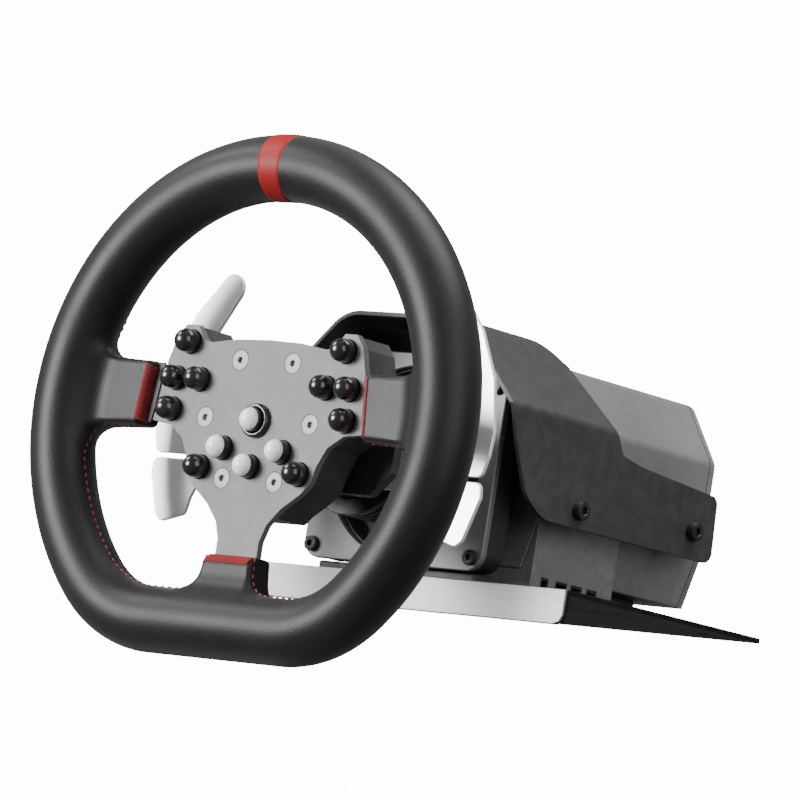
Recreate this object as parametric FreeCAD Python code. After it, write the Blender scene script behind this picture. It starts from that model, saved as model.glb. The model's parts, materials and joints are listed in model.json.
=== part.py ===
import FreeCAD, Part
import math
import os

# Racing wheel: a D-shaped steering rim with buttons and paddles on a motor base.
#
# Every piece is drawn about the steering axis: x = 0 and z = 0 lie on the axis, y = 0 is the
# driver's side of the wheel's metal plate, +x is the driver's right, +y points away from the
# driver and +z is up. write_part moves each piece to the part's own frame, whose origin is the
# middle of the base plate's underside.

V = FreeCAD.Vector

# ---- driving dimensions, mm -------------------------------------------------------------
# rim
rim_radius = 126.0            # centreline of the round part
rim_centre_z = 2.5            # centre of the round part above the axis
rim_flat_drop = 108.0         # centreline of the flat below that centre
rim_corner_radius = 63.0      # centreline of the two lower corners
grip_radius = 17.0            # half the grip's thickness
grip_y = -5.5                 # plane of the grip's centreline
marker_width = 14.0           # band at the top of the grip

# metal plate of the wheel
plate_thickness = 4.0
ring_half_width = 7.0         # the plate's ring inside the grip
hub_half_width = 71.0
hub_top = 41.5
ear_top = 47.0
arm_bottom = -3.5             # side arms
arm_top = 28.0
arm_core_top = 23.0           # side arms where the leather covers them
foot_half_width = 14.0        # lower arm
bolt_circle = 70.0
bolt_count = 6
bolt_radius = 2.5
bolt_head_radius = 5.2
bolt_head_depth = 2.7

# leather spokes
cover_front = 7.0             # leather ahead of the plate's face
cover_back = 6.0              # leather behind the plate
cover_margin = 3.5            # leather past the arm's edges
cover_gap = 1.0               # plate's end to the leather
cover_flare = 4.0             # extra half height where a spoke meets the rim
foot_cover_top = -69.0
foot_cover_flare = 10.0

# buttons
cap_radius = 6.0
cap_height = 10.0             # out of the plate's face
cap_clearance = 0.3
cap_travel = 1.5
flange_overhang = 0.7
cap_flange = 1.2
side_column = 58.0            # outer columns of buttons
inner_column = 42.0
upper_row = 19.0
lower_row = 3.0
ear_button_x = 52.0
ear_button_z = 38.0
face_pair_x = 19.6            # pale caps below the middle
face_pair_z = -15.0
face_low_z = -23.5
outer_low_x = 33.0
outer_low_z = -25.5
bezel_wall = 2.5
bezel_height = 3.0

# housing behind the plate
housing_depth = 22.0
housing_wall = 2.0
housing_inset = 0.8
boss_radius = 5.2
board_thickness = 1.6
board_front = 14.0            # y of the button board's front
switch_size = 6.0
switch_height = 3.6

# hub adapter, quick release and paddles
flange_radius = 43.0
flange_thickness = 8.0
sleeve_radius = 26.0
sleeve_length = 77.0          # from the flange's back to the sleeve's end
socket_depth = 42.0           # how far the shaft goes into the sleeve
carrier_thickness = 6.0
carrier_half_width = 64.0
carrier_half_height = 29.0
paddle_y = 50.5               # middle of the paddle sheet
paddle_thickness = 2.5
pivot_x = 36.0
pivot_y = 45.0
pivot_radius = 1.5
barrel_radius = 3.6
ear_thickness = 4.0
paddle_gap = 2.4              # between the upper and lower paddles
paddle_split_z = -15.0
paddle_reach = 113.0          # farthest point of the shift paddles from the axis
paddle_tip_radius = 7.8
collar_radius = 35.0
collar_length = 26.0
collar_travel = 6.0

# shaft and motor
shaft_radius = 15.0
rotor_shaft_radius = 12.0
tail_radius = 8.0
shaft_flange_radius = 30.0
shaft_flange = 6.0
stator_radius = 42.0
stator_length = 80.0
stator_y = 184.0
slot_count = 12
rotor_radius = 24.0
air_gap = 0.6

# base
axis_height = 61.5            # steering axis above the base plate's underside
base_half_width = 121.0
base_front = 117.0            # y of the plate's front edge
base_length = 171.0
base_thickness = 2.5
lip_drop = 18.0
lip_sheet = 1.5
face_y = 120.0
face_thickness = 4.0
face_half_width = 60.0
face_top = 57.0
face_bottom = -54.0
face_corner = 10.0
face_opening = 50.0
shroud_depth = 14.0
block_half_width = 46.0
block_depth = 15.0
block_top = 44.0
body_front = 160.0            # y of the motor housing's front
body_length = 137.0
body_half_width = 62.0
body_top = 64.0
body_chamfer_x = 21.0         # upper chamfers
body_chamfer_z = 31.0
body_bottom = -46.0
body_taper_x = 8.0            # sides lean in towards the bottom
body_taper_z = 30.0
body_round = 8.0              # upper corners
cap_thickness = 6.0
lower_length = 69.0
lower_wall = 2.5
hood_side_room = 19.0         # motor housing's side to the hood's outside
hood_top_room = 10.6
hood_crease_z = 32.0
hood_bottom = -22.5
hood_front = 101.0
hood_back = 285.0
hood_sheet = 2.5
hood_top_bend = 24.0          # outside radius of the two upper bends
hood_side_bend = 6.0          # outside radius of the two creases
hood_bolts_yz = ((166.0, -13.0), (264.0, -8.0))
mount_hole_radius = 3.3
mount_half_x = 100.0
mount_half_y = 60.0

# clearances
seat_gap = 0.2                # between pieces that are fixed to each other
running_gap = 0.05            # shafts and pins that turn in a hole
moving_gap = 0.4              # other faces that pass each other

# ---- values worked out from them --------------------------------------------------------
flat_z = rim_centre_z - rim_flat_drop
corner_z = flat_z + rim_corner_radius
corner_x = math.sqrt((rim_radius - rim_corner_radius) ** 2 - (corner_z - rim_centre_z) ** 2)
join_angle = math.degrees(math.atan2(corner_z - rim_centre_z, corner_x))
marker_half_angle = math.degrees(math.asin(marker_width / 2 / rim_radius))
housing_back = plate_thickness + housing_depth
flange_back = housing_back + flange_thickness
sleeve_end = flange_back + sleeve_length
shaft_tip = sleeve_end - socket_depth
carrier_back = flange_back + carrier_thickness
bolt_end = carrier_back - 1.0
plate_top_z = base_thickness - axis_height
base_back = base_front + base_length
base_middle_y = base_front + base_length / 2
face_back = face_y + face_thickness
shroud_back = face_back + shroud_depth
block_back = shroud_back + block_depth
body_back = body_front + body_length
cover_end_x = hub_half_width + cover_gap
hood_half_width = body_half_width + hood_side_room
hood_flat_half = body_half_width - body_chamfer_x - 1.0
hood_top = body_top + hood_top_room
paddle_front = paddle_y - paddle_thickness / 2
stator_back = stator_y + stator_length

FRONT_BEARING = {"bore": shaft_radius, "outer": 31.0, "y": shroud_back + 2.0, "width": 11.0, "balls": 12}
REAR_BEARING = {"bore": tail_radius, "outer": 19.0, "y": body_back - 14.0, "width": 9.0, "balls": 9}


# ---- small builders ---------------------------------------------------------------------
def box(x0, x1, y0, y1, z0, z1):
    return Part.makeBox(x1 - x0, y1 - y0, z1 - z0, V(x0, y0, z0))


def rod(radius, y0, y1, x=0.0, z=0.0):
    """Cylinder along the steering axis' direction."""
    return Part.makeCylinder(radius, y1 - y0, V(x, y0, z), V(0, 1, 0))


def tube(outer, inner, y0, y1, x=0.0, z=0.0):
    return rod(outer, y0, y1, x, z).cut(rod(inner, y0 - 1, y1 + 1, x, z))


def fused(shapes):
    body = shapes[0]
    if len(shapes) > 1:
        body = body.multiFuse(shapes[1:])
    return body.removeSplitter()


def slab(points, y0, y1):
    """Closed outline of (x, z) points, extruded along y."""
    corners = [V(x, y0, z) for x, z in points]
    wire = Part.makePolygon(corners + corners[:1])
    return Part.Face(wire).extrude(V(0, y1 - y0, 0))


def mirrored(points):
    """Right-hand outline, given from top to bottom, closed by its mirror image."""
    return points + [(-x, z) for x, z in reversed(points) if x > 0]


def flip(shape):
    return shape.mirror(V(0, 0, 0), V(1, 0, 0))


def round_edges(shape, radius, wanted):
    """Fillet the edges that wanted(edge) picks."""
    edges = [edge for edge in shape.Edges if wanted(edge)]
    return shape.makeFillet(radius, edges)


def along(edge, direction):
    """True where the edge is a straight line in this direction."""
    if edge.Curve.TypeId != "Part::GeomLine":
        return False
    return abs(edge.Curve.Direction.dot(direction)) > 0.999


def near(edge, y, z):
    """True where the edge starts at this y and z."""
    start = edge.Vertexes[0]
    return abs(start.Y - y) < 0.01 and abs(start.Z - z) < 0.01


def ring_of_points(radius, count, start):
    step = 360.0 / count
    angles = [math.radians(start + step * i) for i in range(count)]
    return [(radius * math.cos(a), radius * math.sin(a)) for a in angles]


HUB_BOLTS = ring_of_points(bolt_circle / 2, bolt_count, 0.0)

BUTTONS = {
    "button_ear_left": (-ear_button_x, ear_button_z),
    "button_ear_right": (ear_button_x, ear_button_z),
    "button_outer_left": (-side_column, upper_row),
    "button_inner_left": (-inner_column, upper_row),
    "button_inner_right": (inner_column, upper_row),
    "button_outer_right": (side_column, upper_row),
    "button_side_left": (-side_column, lower_row),
    "button_side_right": (side_column, lower_row),
    "button_low_left": (-outer_low_x, outer_low_z),
    "button_low_right": (outer_low_x, outer_low_z),
    "button_face_left": (-face_pair_x, face_pair_z),
    "button_face_right": (face_pair_x, face_pair_z),
    "button_face_low": (0.0, face_low_z),
    "button_centre": (0.0, 0.0),
}


# ---- places that several pieces share ---------------------------------------------------
EAR_SPANS = ((22.5, 26.5), (-3.0, 3.0), (-28.5, -24.5))
ARM_SPANS = ((EAR_SPANS[1][1] + moving_gap, EAR_SPANS[0][0] - moving_gap),
             (EAR_SPANS[2][1] + moving_gap, EAR_SPANS[1][0] - moving_gap))
collar_y = sleeve_end - collar_length - 6.0
COLLAR_GROOVES = [collar_y + 5.0 + 5.0 * i for i in range(4)]
BLOCK_SCREWS = [(-30.0, block_back - 8.0), (30.0, block_back - 8.0)]
LOWER_SCREWS = [(x, y) for x in (-26.0, 26.0) for y in (body_front + 14.0, body_front + lower_length - 14.0)]
FOOT_SCREWS = [(-28.0, base_back - 16.0), (28.0, base_back - 16.0)]
END_SCREWS = [(x, z) for x in (-46.0, 46.0) for z in (34.0, -24.0)]
port_z = plate_top_z + lower_wall + 3.8
port_inner_x = body_half_width - 15.0
PORTS = ((body_front + 12.0, 3.5, 3.5), (body_front + 26.0, 5.0, 3.5), (body_front + 39.0, 5.0, 3.5),
         (body_front + 52.0, 4.5, 3.4))
FACE_BOLTS = [(side * (face_half_width - 6.5), z) for side in (-1, 1)
              for z in (face_bottom + 7.0, face_top - 15.0)]


# ---- outlines ---------------------------------------------------------------------------
def d_wire(offset, y):
    """The rim's D outline, moved outwards by offset, at plane y."""
    big = rim_radius + offset
    small = rim_corner_radius + offset
    low_z = flat_z - offset

    def on_big(angle):
        a = math.radians(angle)
        return V(big * math.cos(a), y, rim_centre_z + big * math.sin(a))

    def on_corner(side, angle):
        a = math.radians(angle)
        return V(side * (corner_x + small * math.cos(a)), y, corner_z + small * math.sin(a))

    middle = (join_angle - 90.0) / 2
    top_arc = Part.Arc(on_big(join_angle), on_big(90), on_big(180 - join_angle)).toShape()
    left = Part.Arc(on_corner(-1, join_angle), on_corner(-1, middle), V(-corner_x, y, low_z)).toShape()
    flat = Part.makeLine(V(-corner_x, y, low_z), V(corner_x, y, low_z))
    right = Part.Arc(V(corner_x, y, low_z), on_corner(1, middle), on_corner(1, join_angle)).toShape()
    return Part.Wire([top_arc, left, flat, right])


def d_plate(outer, inner, y0, y1):
    """Flat D ring between two offsets of the rim's centreline."""
    outside = Part.Face(d_wire(outer, y0)).extrude(V(0, y1 - y0, 0))
    inside = Part.Face(d_wire(inner, y0 - 1)).extrude(V(0, y1 - y0 + 2, 0))
    return outside.cut(inside)


def swept_arc(radius, centre_x, centre_z, arc_radius, start, end):
    """Round bar bent about a centre in the rim's plane, from one angle to another."""
    a = math.radians(start)
    direction = V(math.cos(a), 0, math.sin(a))
    centre = V(centre_x, grip_y, centre_z)
    normal = V(-math.sin(a), 0, math.cos(a))
    circle = Part.makeCircle(radius, centre + direction * arc_radius, normal)
    return Part.Face(Part.Wire(circle)).revolve(centre, V(0, -1, 0), end - start)


def grip_bar(radius):
    """The grip's round bar all the way round, with the marker's place left open."""
    gap = marker_half_angle
    pieces = [
        swept_arc(radius, 0, rim_centre_z, rim_radius, join_angle, 90 - gap),
        swept_arc(radius, 0, rim_centre_z, rim_radius, 90 + gap, 180 - join_angle),
        swept_arc(radius, corner_x, corner_z, rim_corner_radius, -90, join_angle),
        swept_arc(radius, -corner_x, corner_z, rim_corner_radius, 180 - join_angle, 270),
        Part.makeCylinder(radius, 2 * corner_x, V(-corner_x, grip_y, flat_z), V(1, 0, 0)),
    ]
    return fused(pieces)


def marker_bar(radius):
    gap = marker_half_angle
    return swept_arc(radius, 0, rim_centre_z, rim_radius, 90 - gap, 90 + gap)


def hub_outline(inset):
    """Outline of the plate's middle, from the top down to the lower arm."""
    side = hub_half_width - inset
    foot = foot_half_width - inset
    right = [
        (0.0, hub_top - inset),
        (hub_half_width * 0.3, hub_top - 0.7 - inset),
        (hub_half_width * 0.54, hub_top - 3.0 - inset),
        (hub_half_width * 0.61, hub_top - 1.5 - inset),
        (ear_button_x - 3.0, ear_top - inset),
        (ear_button_x + 5.0 - inset, ear_top - inset),
        (ear_button_x + 10.0 - inset, ear_top - 6.0 - inset),
        (side - 5.0, arm_top - inset),
        (side, arm_bottom + inset),
        (side - 13.0, arm_bottom - 1.5 + inset),
        (side - 22.5, arm_bottom - 8.0 + inset),
        (side - 27.0, arm_bottom - 16.5),
        (side - 29.5, arm_bottom - 25.5),
        (side - 35.0, arm_bottom - 32.0),
        (foot + 11.0, -43.5),
        (foot + 3.0, -52.5),
        (foot, -61.0),
        (foot, foot_cover_top - 4.0),
    ]
    return mirrored(right)


# ---- rim --------------------------------------------------------------------------------
def wheel_plate():
    """One metal plate: the hub's face, three arms and the ring inside the grip."""
    t = plate_thickness
    reach = rim_radius
    pieces = [
        slab(hub_outline(0.0), 0, t),
        box(-reach, reach, 0, t, arm_bottom, arm_core_top),
        box(-foot_half_width, foot_half_width, 0, t, flat_z, 0),
        d_plate(ring_half_width, -ring_half_width, 0, t),
    ]
    plate = fused(pieces)
    for name, (x, z) in BUTTONS.items():
        plate = plate.cut(rod(cap_radius + cap_clearance, -1, t + 1, x, z))
    for x, z in HUB_BOLTS:
        plate = plate.cut(bolt_body(x, z, seat_gap))
    return plate


def arm_tool(gap):
    """The plate's ring and arms, grown by a gap, to cut their room in grip and leather."""
    t = plate_thickness
    reach = rim_radius
    foot = foot_half_width + gap
    pieces = [
        box(-reach, reach, -gap, t + gap, arm_bottom - gap, arm_core_top + gap),
        box(-foot, foot, -gap, t + gap, flat_z, 0),
        d_plate(ring_half_width + gap, -ring_half_width - gap, -gap, t + gap),
    ]
    return fused(pieces)


def rim_grip():
    return grip_bar(grip_radius).cut(arm_tool(seat_gap))


def centre_marker():
    return marker_bar(grip_radius).cut(arm_tool(seat_gap))


def grip_tool():
    """The whole grip with a little clearance, for what meets it."""
    return fused([grip_bar(grip_radius + seat_gap), marker_bar(grip_radius + seat_gap)])


def spoke_block(root, tip, half_root, half_tip, middle):
    """Tapered bar along x with rounded long edges."""
    front = -cover_front
    back = plate_thickness + cover_back
    outline = [
        V(root, front, middle - half_root),
        V(tip, front, middle - half_tip),
        V(tip, front, middle + half_tip),
        V(root, front, middle + half_root),
    ]
    wire = Part.makePolygon(outline + outline[:1])
    block = Part.Face(wire).extrude(V(0, back - front, 0))
    long_edges = [e for e in block.Edges if abs(e.BoundBox.XLength) > abs(tip - root) * 0.9]
    return block.makeFillet(5.0, long_edges)


def spoke_cover_right():
    middle = (arm_bottom + arm_core_top) / 2
    half = (arm_core_top - arm_bottom) / 2 + cover_margin
    tip = rim_radius
    block = spoke_block(cover_end_x, tip, half, half + cover_flare, middle)
    return block.cut(arm_tool(seat_gap)).cut(grip_tool())


def spoke_cover_bottom():
    half = foot_half_width + cover_margin - 1.0
    length = foot_cover_top - flat_z
    block = spoke_block(0.0, length, half, half + foot_cover_flare, 0.0)
    block.rotate(V(0, 0, 0), V(0, 1, 0), 90)
    block.translate(V(0, 0, foot_cover_top))
    return block.cut(arm_tool(seat_gap)).cut(grip_tool())


# ---- hub bolts, buttons -----------------------------------------------------------------
def bolt_body(x, z, gap):
    """Countersunk bolt from the plate's face into the hub adapter."""
    cone = Part.makeCone(bolt_head_radius + gap, bolt_radius + gap, bolt_head_depth, V(x, 0, z), V(0, 1, 0))
    return fused([cone, rod(bolt_radius + gap, bolt_head_depth, bolt_end + gap, x, z)])


def hex_socket(x, z, across, y0, y1):
    points = [(x + px, z + pz) for px, pz in ring_of_points(across / math.sqrt(3), 6, 0.0)]
    return slab(points, y0, y1)


def hub_bolts():
    bolts = []
    for x, z in HUB_BOLTS:
        bolts.append(bolt_body(x, z, 0.0).cut(hex_socket(x, z, 3.0, -1, 2.0)))
    return Part.makeCompound(bolts)


def button_cap(x, z):
    """Domed cap: a round body through the plate, a flange behind it and a short plunger."""
    dome_start = -(cap_height - cap_radius * 0.9)
    flange_y = plate_thickness + seat_gap
    body = rod(cap_radius, dome_start, flange_y + cap_flange, x, z)
    dome = Part.makeSphere(cap_radius, V(x, dome_start, z))
    dome = dome.common(box(x - 9, x + 9, dome_start - 9, dome_start, z - 9, z + 9))
    flange = rod(cap_radius + flange_overhang, flange_y, flange_y + cap_flange, x, z)
    plunger_end = board_front - switch_height - cap_travel - moving_gap
    plunger = rod(1.6, flange_y, plunger_end, x, z)
    return fused([body, dome, flange, plunger])


def centre_bezel():
    """Ring on the plate round the centre button."""
    bore = cap_radius + cap_clearance
    ring = tube(bore + bezel_wall, bore, -bezel_height, 0)
    return round_edges(ring, 1.0, lambda e: e.BoundBox.YMax < -bezel_height + 0.01)


def button_board():
    """Circuit board behind the plate, with room for the bolts' bosses."""
    board = slab(hub_outline(housing_inset + housing_wall + 0.6), board_front, board_front + board_thickness)
    keep = box(-200, 200, board_front - 1, board_front + 9, -46, 100)
    board = board.common(keep)
    for x, z in HUB_BOLTS:
        board = board.cut(rod(boss_radius + seat_gap, 0, 40, x, z))
    return board.cut(rod(sleeve_radius * 0.3, 0, 40, 0, 12))


def button_switches():
    """One switch on the board behind each cap."""
    half = switch_size / 2
    switches = []
    for x, z in BUTTONS.values():
        body = box(x - half, x + half, board_front - switch_height + 0.8, board_front, z - half, z + half)
        switches.append(fused([body, rod(1.8, board_front - switch_height, board_front - 1, x, z)]))
    return Part.makeCompound(switches)


def hub_housing():
    """Tub behind the plate: side wall, back wall, and a boss round each hub bolt."""
    outer = slab(hub_outline(housing_inset), plate_thickness, housing_back)
    inner = slab(hub_outline(housing_inset + housing_wall), plate_thickness - 1, housing_back - housing_wall)
    below = box(-200, 200, 0, 60, -200, -48.0)
    inner = inner.cut(box(-200, 200, 0, 60, -200, -46.0))
    tub = outer.cut(below).cut(inner)
    for x, z in HUB_BOLTS:
        tub = tub.fuse(rod(boss_radius, plate_thickness, housing_back, x, z))
    for x, z in HUB_BOLTS:
        tub = tub.cut(rod(bolt_radius + seat_gap, 0, 40, x, z))
    board_back = board_front + board_thickness
    ledge = slab(hub_outline(housing_inset + 0.1), board_back, board_back + 2)
    hollow = slab(hub_outline(housing_inset + housing_wall + 2.5), board_front, board_front + 9)
    rail = ledge.cut(hollow).cut(below)
    tub = tub.fuse(rail).removeSplitter()
    pocket_back = plate_thickness + cap_flange + cap_travel + 2 * moving_gap
    for x, z in BUTTONS.values():
        tub = tub.cut(rod(cap_radius + flange_overhang + moving_gap, 0, pocket_back, x, z))
    return tub


# ---- hub adapter, quick release, paddles ------------------------------------------------
def hub_adapter():
    """Flange on the bolt circle with a long sleeve that the shaft's end fills."""
    body = fused([rod(flange_radius, housing_back, flange_back), rod(sleeve_radius, flange_back, sleeve_end)])
    body = body.cut(rod(shaft_radius + seat_gap / 4, shaft_tip, sleeve_end + 1))
    body = body.cut(rod(shaft_radius - 4.0, housing_back - 1, shaft_tip + 1))
    for x, z in HUB_BOLTS:
        body = body.cut(rod(bolt_radius + seat_gap / 4, housing_back - 1, flange_back + 1, x, z))
    return body


def carrier_wing(side):
    """Ears that hold one pivot pin, standing behind the carrier plate."""
    ears = []
    for z0, z1 in EAR_SPANS:
        ear = box(pivot_x - 6, pivot_x + 6, carrier_back, pivot_y + 5.0, z0, z1)
        ears.append(ear)
    wing = fused(ears)
    wing = wing.cut(pin_rod(pivot_radius + 0.02))
    return wing if side > 0 else flip(wing)


def pin_rod(radius):
    low = EAR_SPANS[-1][0]
    high = EAR_SPANS[0][1]
    return Part.makeCylinder(radius, high - low, V(pivot_x, pivot_y, low), V(0, 0, 1))


def paddle_carrier():
    """Black plate on the adapter's flange that carries the paddles' pivots and switches."""
    w = carrier_half_width
    h = carrier_half_height
    outline = mirrored([(0, h), (w - 12, h), (w, h - 12), (w, 12 - h), (w - 12, -h), (0, -h)])
    plate = slab(outline, flange_back, carrier_back)
    plate = fused([plate, rod(flange_radius - 2.0, flange_back, carrier_back)])
    plate = plate.cut(rod(sleeve_radius + seat_gap, 0, 100))
    for x, z in HUB_BOLTS:
        plate = plate.cut(rod(bolt_radius + seat_gap / 4, 0, 100, x, z))
    return fused([plate, carrier_wing(1), carrier_wing(-1)])


def paddle_pins():
    pin = pin_rod(pivot_radius)
    return Part.makeCompound([pin, flip(pin)])


def paddle_switches():
    """Switch blocks on the carrier, ahead of each paddle's arm."""
    blocks = []
    for z in (ARM_SPANS[0][0] + 4.0, ARM_SPANS[1][1] - 9.0):
        block = box(pivot_x + 9, pivot_x + 19, carrier_back, paddle_front - 2.9, z, z + 6)
        blocks += [block, flip(block)]
    return Part.makeCompound(blocks)


def paddle(outline, span, round_below):
    """Sheet blade on its pivot barrel; outline is the blade's (x, z) on the right-hand side."""
    sheet = slab(outline, paddle_front, paddle_front + paddle_thickness)
    sheet = round_edges(sheet, 4.0, lambda e: along(e, V(0, 1, 0)) and e.Vertexes[0].X > 60
                        and e.Vertexes[0].Z < round_below)
    z0, z1 = span
    barrel = Part.makeCylinder(barrel_radius, z1 - z0, V(pivot_x, pivot_y, z0), V(0, 0, 1))
    web = box(pivot_x - 2.0, pivot_x + 2.0, pivot_y, paddle_front + 0.5, z0, z1)
    body = fused([sheet, barrel, web])
    return body.cut(pin_rod(pivot_radius + running_gap))


def shift_paddle_right():
    """Tall blade for gear changes, from its arm up to a rounded tip."""
    r = paddle_reach
    low = paddle_split_z + paddle_gap / 2
    z0, z1 = ARM_SPANS[0]
    tip_x = r - 38.4
    tip_z = z1 + 52.0
    angles = [math.radians(a) for a in range(204, 23, -12)]
    tip = [(tip_x + paddle_tip_radius * math.cos(a), tip_z + paddle_tip_radius * math.sin(a)) for a in angles]
    blade = [(pivot_x - 5.0, z1), (r - 47.0, z1), (r - 36.0, z1 + 12.0), (r - 33.0, z1 + 28.0)]
    blade += tip
    blade += [
        (r - 17.0, z1 + 38.0), (r - 5.0, z1 + 14.0), (r, z0 + 6.0), (r - 1.0, z0 - 6.0), (r - 4.0, low),
        (r - 31.0, low), (r - 34.0, z0), (pivot_x - 5.0, z0),
    ]
    return paddle(blade, (z0, z1), tip_z - paddle_tip_radius)


def lower_paddle_right():
    """Short second paddle below the first."""
    r = paddle_reach
    top = paddle_split_z - paddle_gap / 2
    z0, z1 = ARM_SPANS[1]
    blade = [
        (pivot_x - 5.0, z1), (r - 43.0, z1), (r - 36.0, top), (r - 3.5, top), (r - 2.5, top - 8.0),
        (r - 10.0, top - 30.0), (r - 14.0, top - 33.5), (r - 30.0, top - 29.0), (r - 32.0, top - 20.0),
        (r - 38.0, z0 + 1.0), (pivot_x - 5.0, z0),
    ]
    return paddle(blade, (z0, z1), z1)


def release_collar():
    """Ring on the adapter's sleeve, pulled towards the driver to free the wheel."""
    ring = tube(collar_radius, sleeve_radius + running_gap, collar_y, collar_y + collar_length)
    grooves = [tube(collar_radius + 1, collar_radius - 1.2, y, y + 2.0) for y in COLLAR_GROOVES]
    for groove in grooves:
        ring = ring.cut(groove)
    return ring


# ---- shaft, bearings, motor -------------------------------------------------------------
def main_shaft():
    """Steel shaft: socket end, flange, front journal, rotor seat and tail journal."""
    pieces = [
        rod(shaft_radius, shaft_tip + seat_gap, body_front + 4.0),
        rod(shaft_flange_radius, sleeve_end, sleeve_end + shaft_flange),
        rod(rotor_shaft_radius, body_front + 4.0, stator_back + 4.0),
        rod(tail_radius, stator_back + 4.0, body_back + 2.0),
    ]
    return fused(pieces)


def rotor():
    """Rotor drum on the shaft, inside the stator."""
    y0 = stator_y + 2.0
    drum = tube(rotor_radius - air_gap, rotor_shaft_radius + running_gap, y0, stator_back - 2.0)
    for x, z in ring_of_points(rotor_radius - air_gap - 4.5, 8, 22.5):
        drum = drum.cut(rod(1.6, 0, 400, x, z))
    return drum


def stator():
    """Laminated ring with teeth that point at the rotor."""
    back_iron = tube(stator_radius - running_gap, stator_radius - 6.0, stator_y, stator_back)
    teeth = []
    for i in range(slot_count):
        tooth = box(rotor_radius, stator_radius - 5.0, stator_y, stator_back, -2.6, 2.6)
        tooth.rotate(V(0, 0, 0), V(0, 1, 0), 360.0 * i / slot_count)
        teeth.append(tooth)
    core = fused([back_iron] + teeth)
    return core.cut(rod(rotor_radius, 0, 400))


def stator_coils():
    """A wound coil round each tooth, standing proud at both ends."""
    coils = []
    for i in range(slot_count):
        outer = box(rotor_radius + 3, stator_radius - 6.4, stator_y - 5, stator_back + 5, -4.7, 4.7)
        inner = box(rotor_radius, stator_radius, stator_y - 1, stator_back + 1, -2.8, 2.8)
        coil = outer.cut(inner)
        coil.rotate(V(0, 0, 0), V(0, 1, 0), 360.0 * i / slot_count)
        coils.append(coil)
    return Part.makeCompound(coils)


def encoder_disc():
    y0 = body_back - 20.0
    return tube(tail_radius + 7.0, tail_radius + running_gap, y0, y0 + 2.0)


def race(bearing, inner, outer):
    y0 = bearing["y"]
    y1 = y0 + bearing["width"]
    return tube(outer, inner, y0, y1)


def ball_circle(bearing):
    return (bearing["bore"] + bearing["outer"]) / 2


def ball_radius(bearing):
    return (bearing["outer"] - bearing["bore"]) * 0.24


def groove(bearing):
    """Ring-shaped room for the balls, cut into both races."""
    middle = bearing["y"] + bearing["width"] / 2
    return Part.makeTorus(ball_circle(bearing), ball_radius(bearing) + 0.3, V(0, middle, 0), V(0, 1, 0))


def inner_races():
    races = []
    for bearing in (FRONT_BEARING, REAR_BEARING):
        wall = (bearing["outer"] - bearing["bore"]) * 0.32
        ring = race(bearing, bearing["bore"] + running_gap, bearing["bore"] + wall)
        races.append(ring.cut(groove(bearing)))
    return Part.makeCompound(races)


def outer_races():
    races = []
    for bearing in (FRONT_BEARING, REAR_BEARING):
        wall = (bearing["outer"] - bearing["bore"]) * 0.32
        ring = race(bearing, bearing["outer"] - wall, bearing["outer"] - running_gap)
        races.append(ring.cut(groove(bearing)))
    return Part.makeCompound(races)


def bearing_balls():
    balls = []
    for bearing in (FRONT_BEARING, REAR_BEARING):
        middle = bearing["y"] + bearing["width"] / 2
        for x, z in ring_of_points(ball_circle(bearing), bearing["balls"], 0.0):
            balls.append(Part.makeSphere(ball_radius(bearing), V(x, middle, z)))
    return Part.makeCompound(balls)


# ---- base -------------------------------------------------------------------------------
def face_outline(inset):
    w = face_half_width - inset
    top = face_top - inset
    low = face_bottom + inset
    return mirrored([
        (0, top), (w - 26.0, top), (w - 22.0, top - 4.0), (w, top - 4.0), (w, low), (0, low),
    ])


def face_slab(inset, y0, y1):
    """The face's outline with round corners, as a solid from y0 to y1."""
    side = face_half_width - inset
    solid = slab(face_outline(inset), y0, y1)
    return round_edges(solid, face_corner,
                       lambda e: along(e, V(0, 1, 0)) and abs(e.Vertexes[0].X) > side - 0.01)


def face_plate():
    """Metal front of the base with its wide round opening."""
    plate = face_slab(0.0, face_y, face_back)
    plate = round_edges(plate, 0.8, lambda e: e.BoundBox.YMax < face_y + 0.01)
    plate = plate.cut(rod(face_opening, 0, 400))
    for x, z in FACE_BOLTS:
        plate = plate.cut(rod(2.7, 0, 400, x, z))
    return plate


def face_bolts():
    bolts = []
    for x, z in FACE_BOLTS:
        head = rod(4.0, face_y - 3.2, face_y, x, z).cut(hex_socket(x, z, 3.0, face_y - 4, face_y - 1.5))
        bolts.append(fused([head, rod(2.5, face_y, shroud_back - 2.0, x, z)]))
    return Part.makeCompound(bolts)


def front_shroud():
    """Black tunnel behind the face plate, closed at the back round the bearing's nose."""
    body = face_slab(0.6, face_back, shroud_back)
    body = body.cut(rod(face_opening - 1.5, 0, shroud_back - 3.0))
    body = body.cut(rod(shaft_radius + 6.0, 0, 400))
    for x, z in FACE_BOLTS:
        body = body.cut(rod(2.6, 0, shroud_back - 2.0 + seat_gap, x, z))
    return body


def bearing_block():
    """Cast block on the base plate that holds the front bearing."""
    w = block_half_width
    outline = mirrored([
        (0, block_top), (w - 20.0, block_top), (w, block_top - 20.0), (w, -24.0),
        (w - 8.0, -34.0), (w - 8.0, plate_top_z), (0, plate_top_z),
    ])
    block = slab(outline, shroud_back, block_back)
    foot = box(-(w + 6), w + 6, face_back + 1.0, block_back, plate_top_z, face_bottom - 0.6)
    block = fused([block, foot])
    block = block.cut(rod(shaft_radius + 6.0, 0, 400))
    front = FRONT_BEARING["y"]
    block = block.cut(rod(FRONT_BEARING["outer"], front, 400))
    for x, y in BLOCK_SCREWS:
        block = block.cut(Part.makeCylinder(2.1, 8.0, V(x, y, plate_top_z - 1)))
    return block


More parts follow.
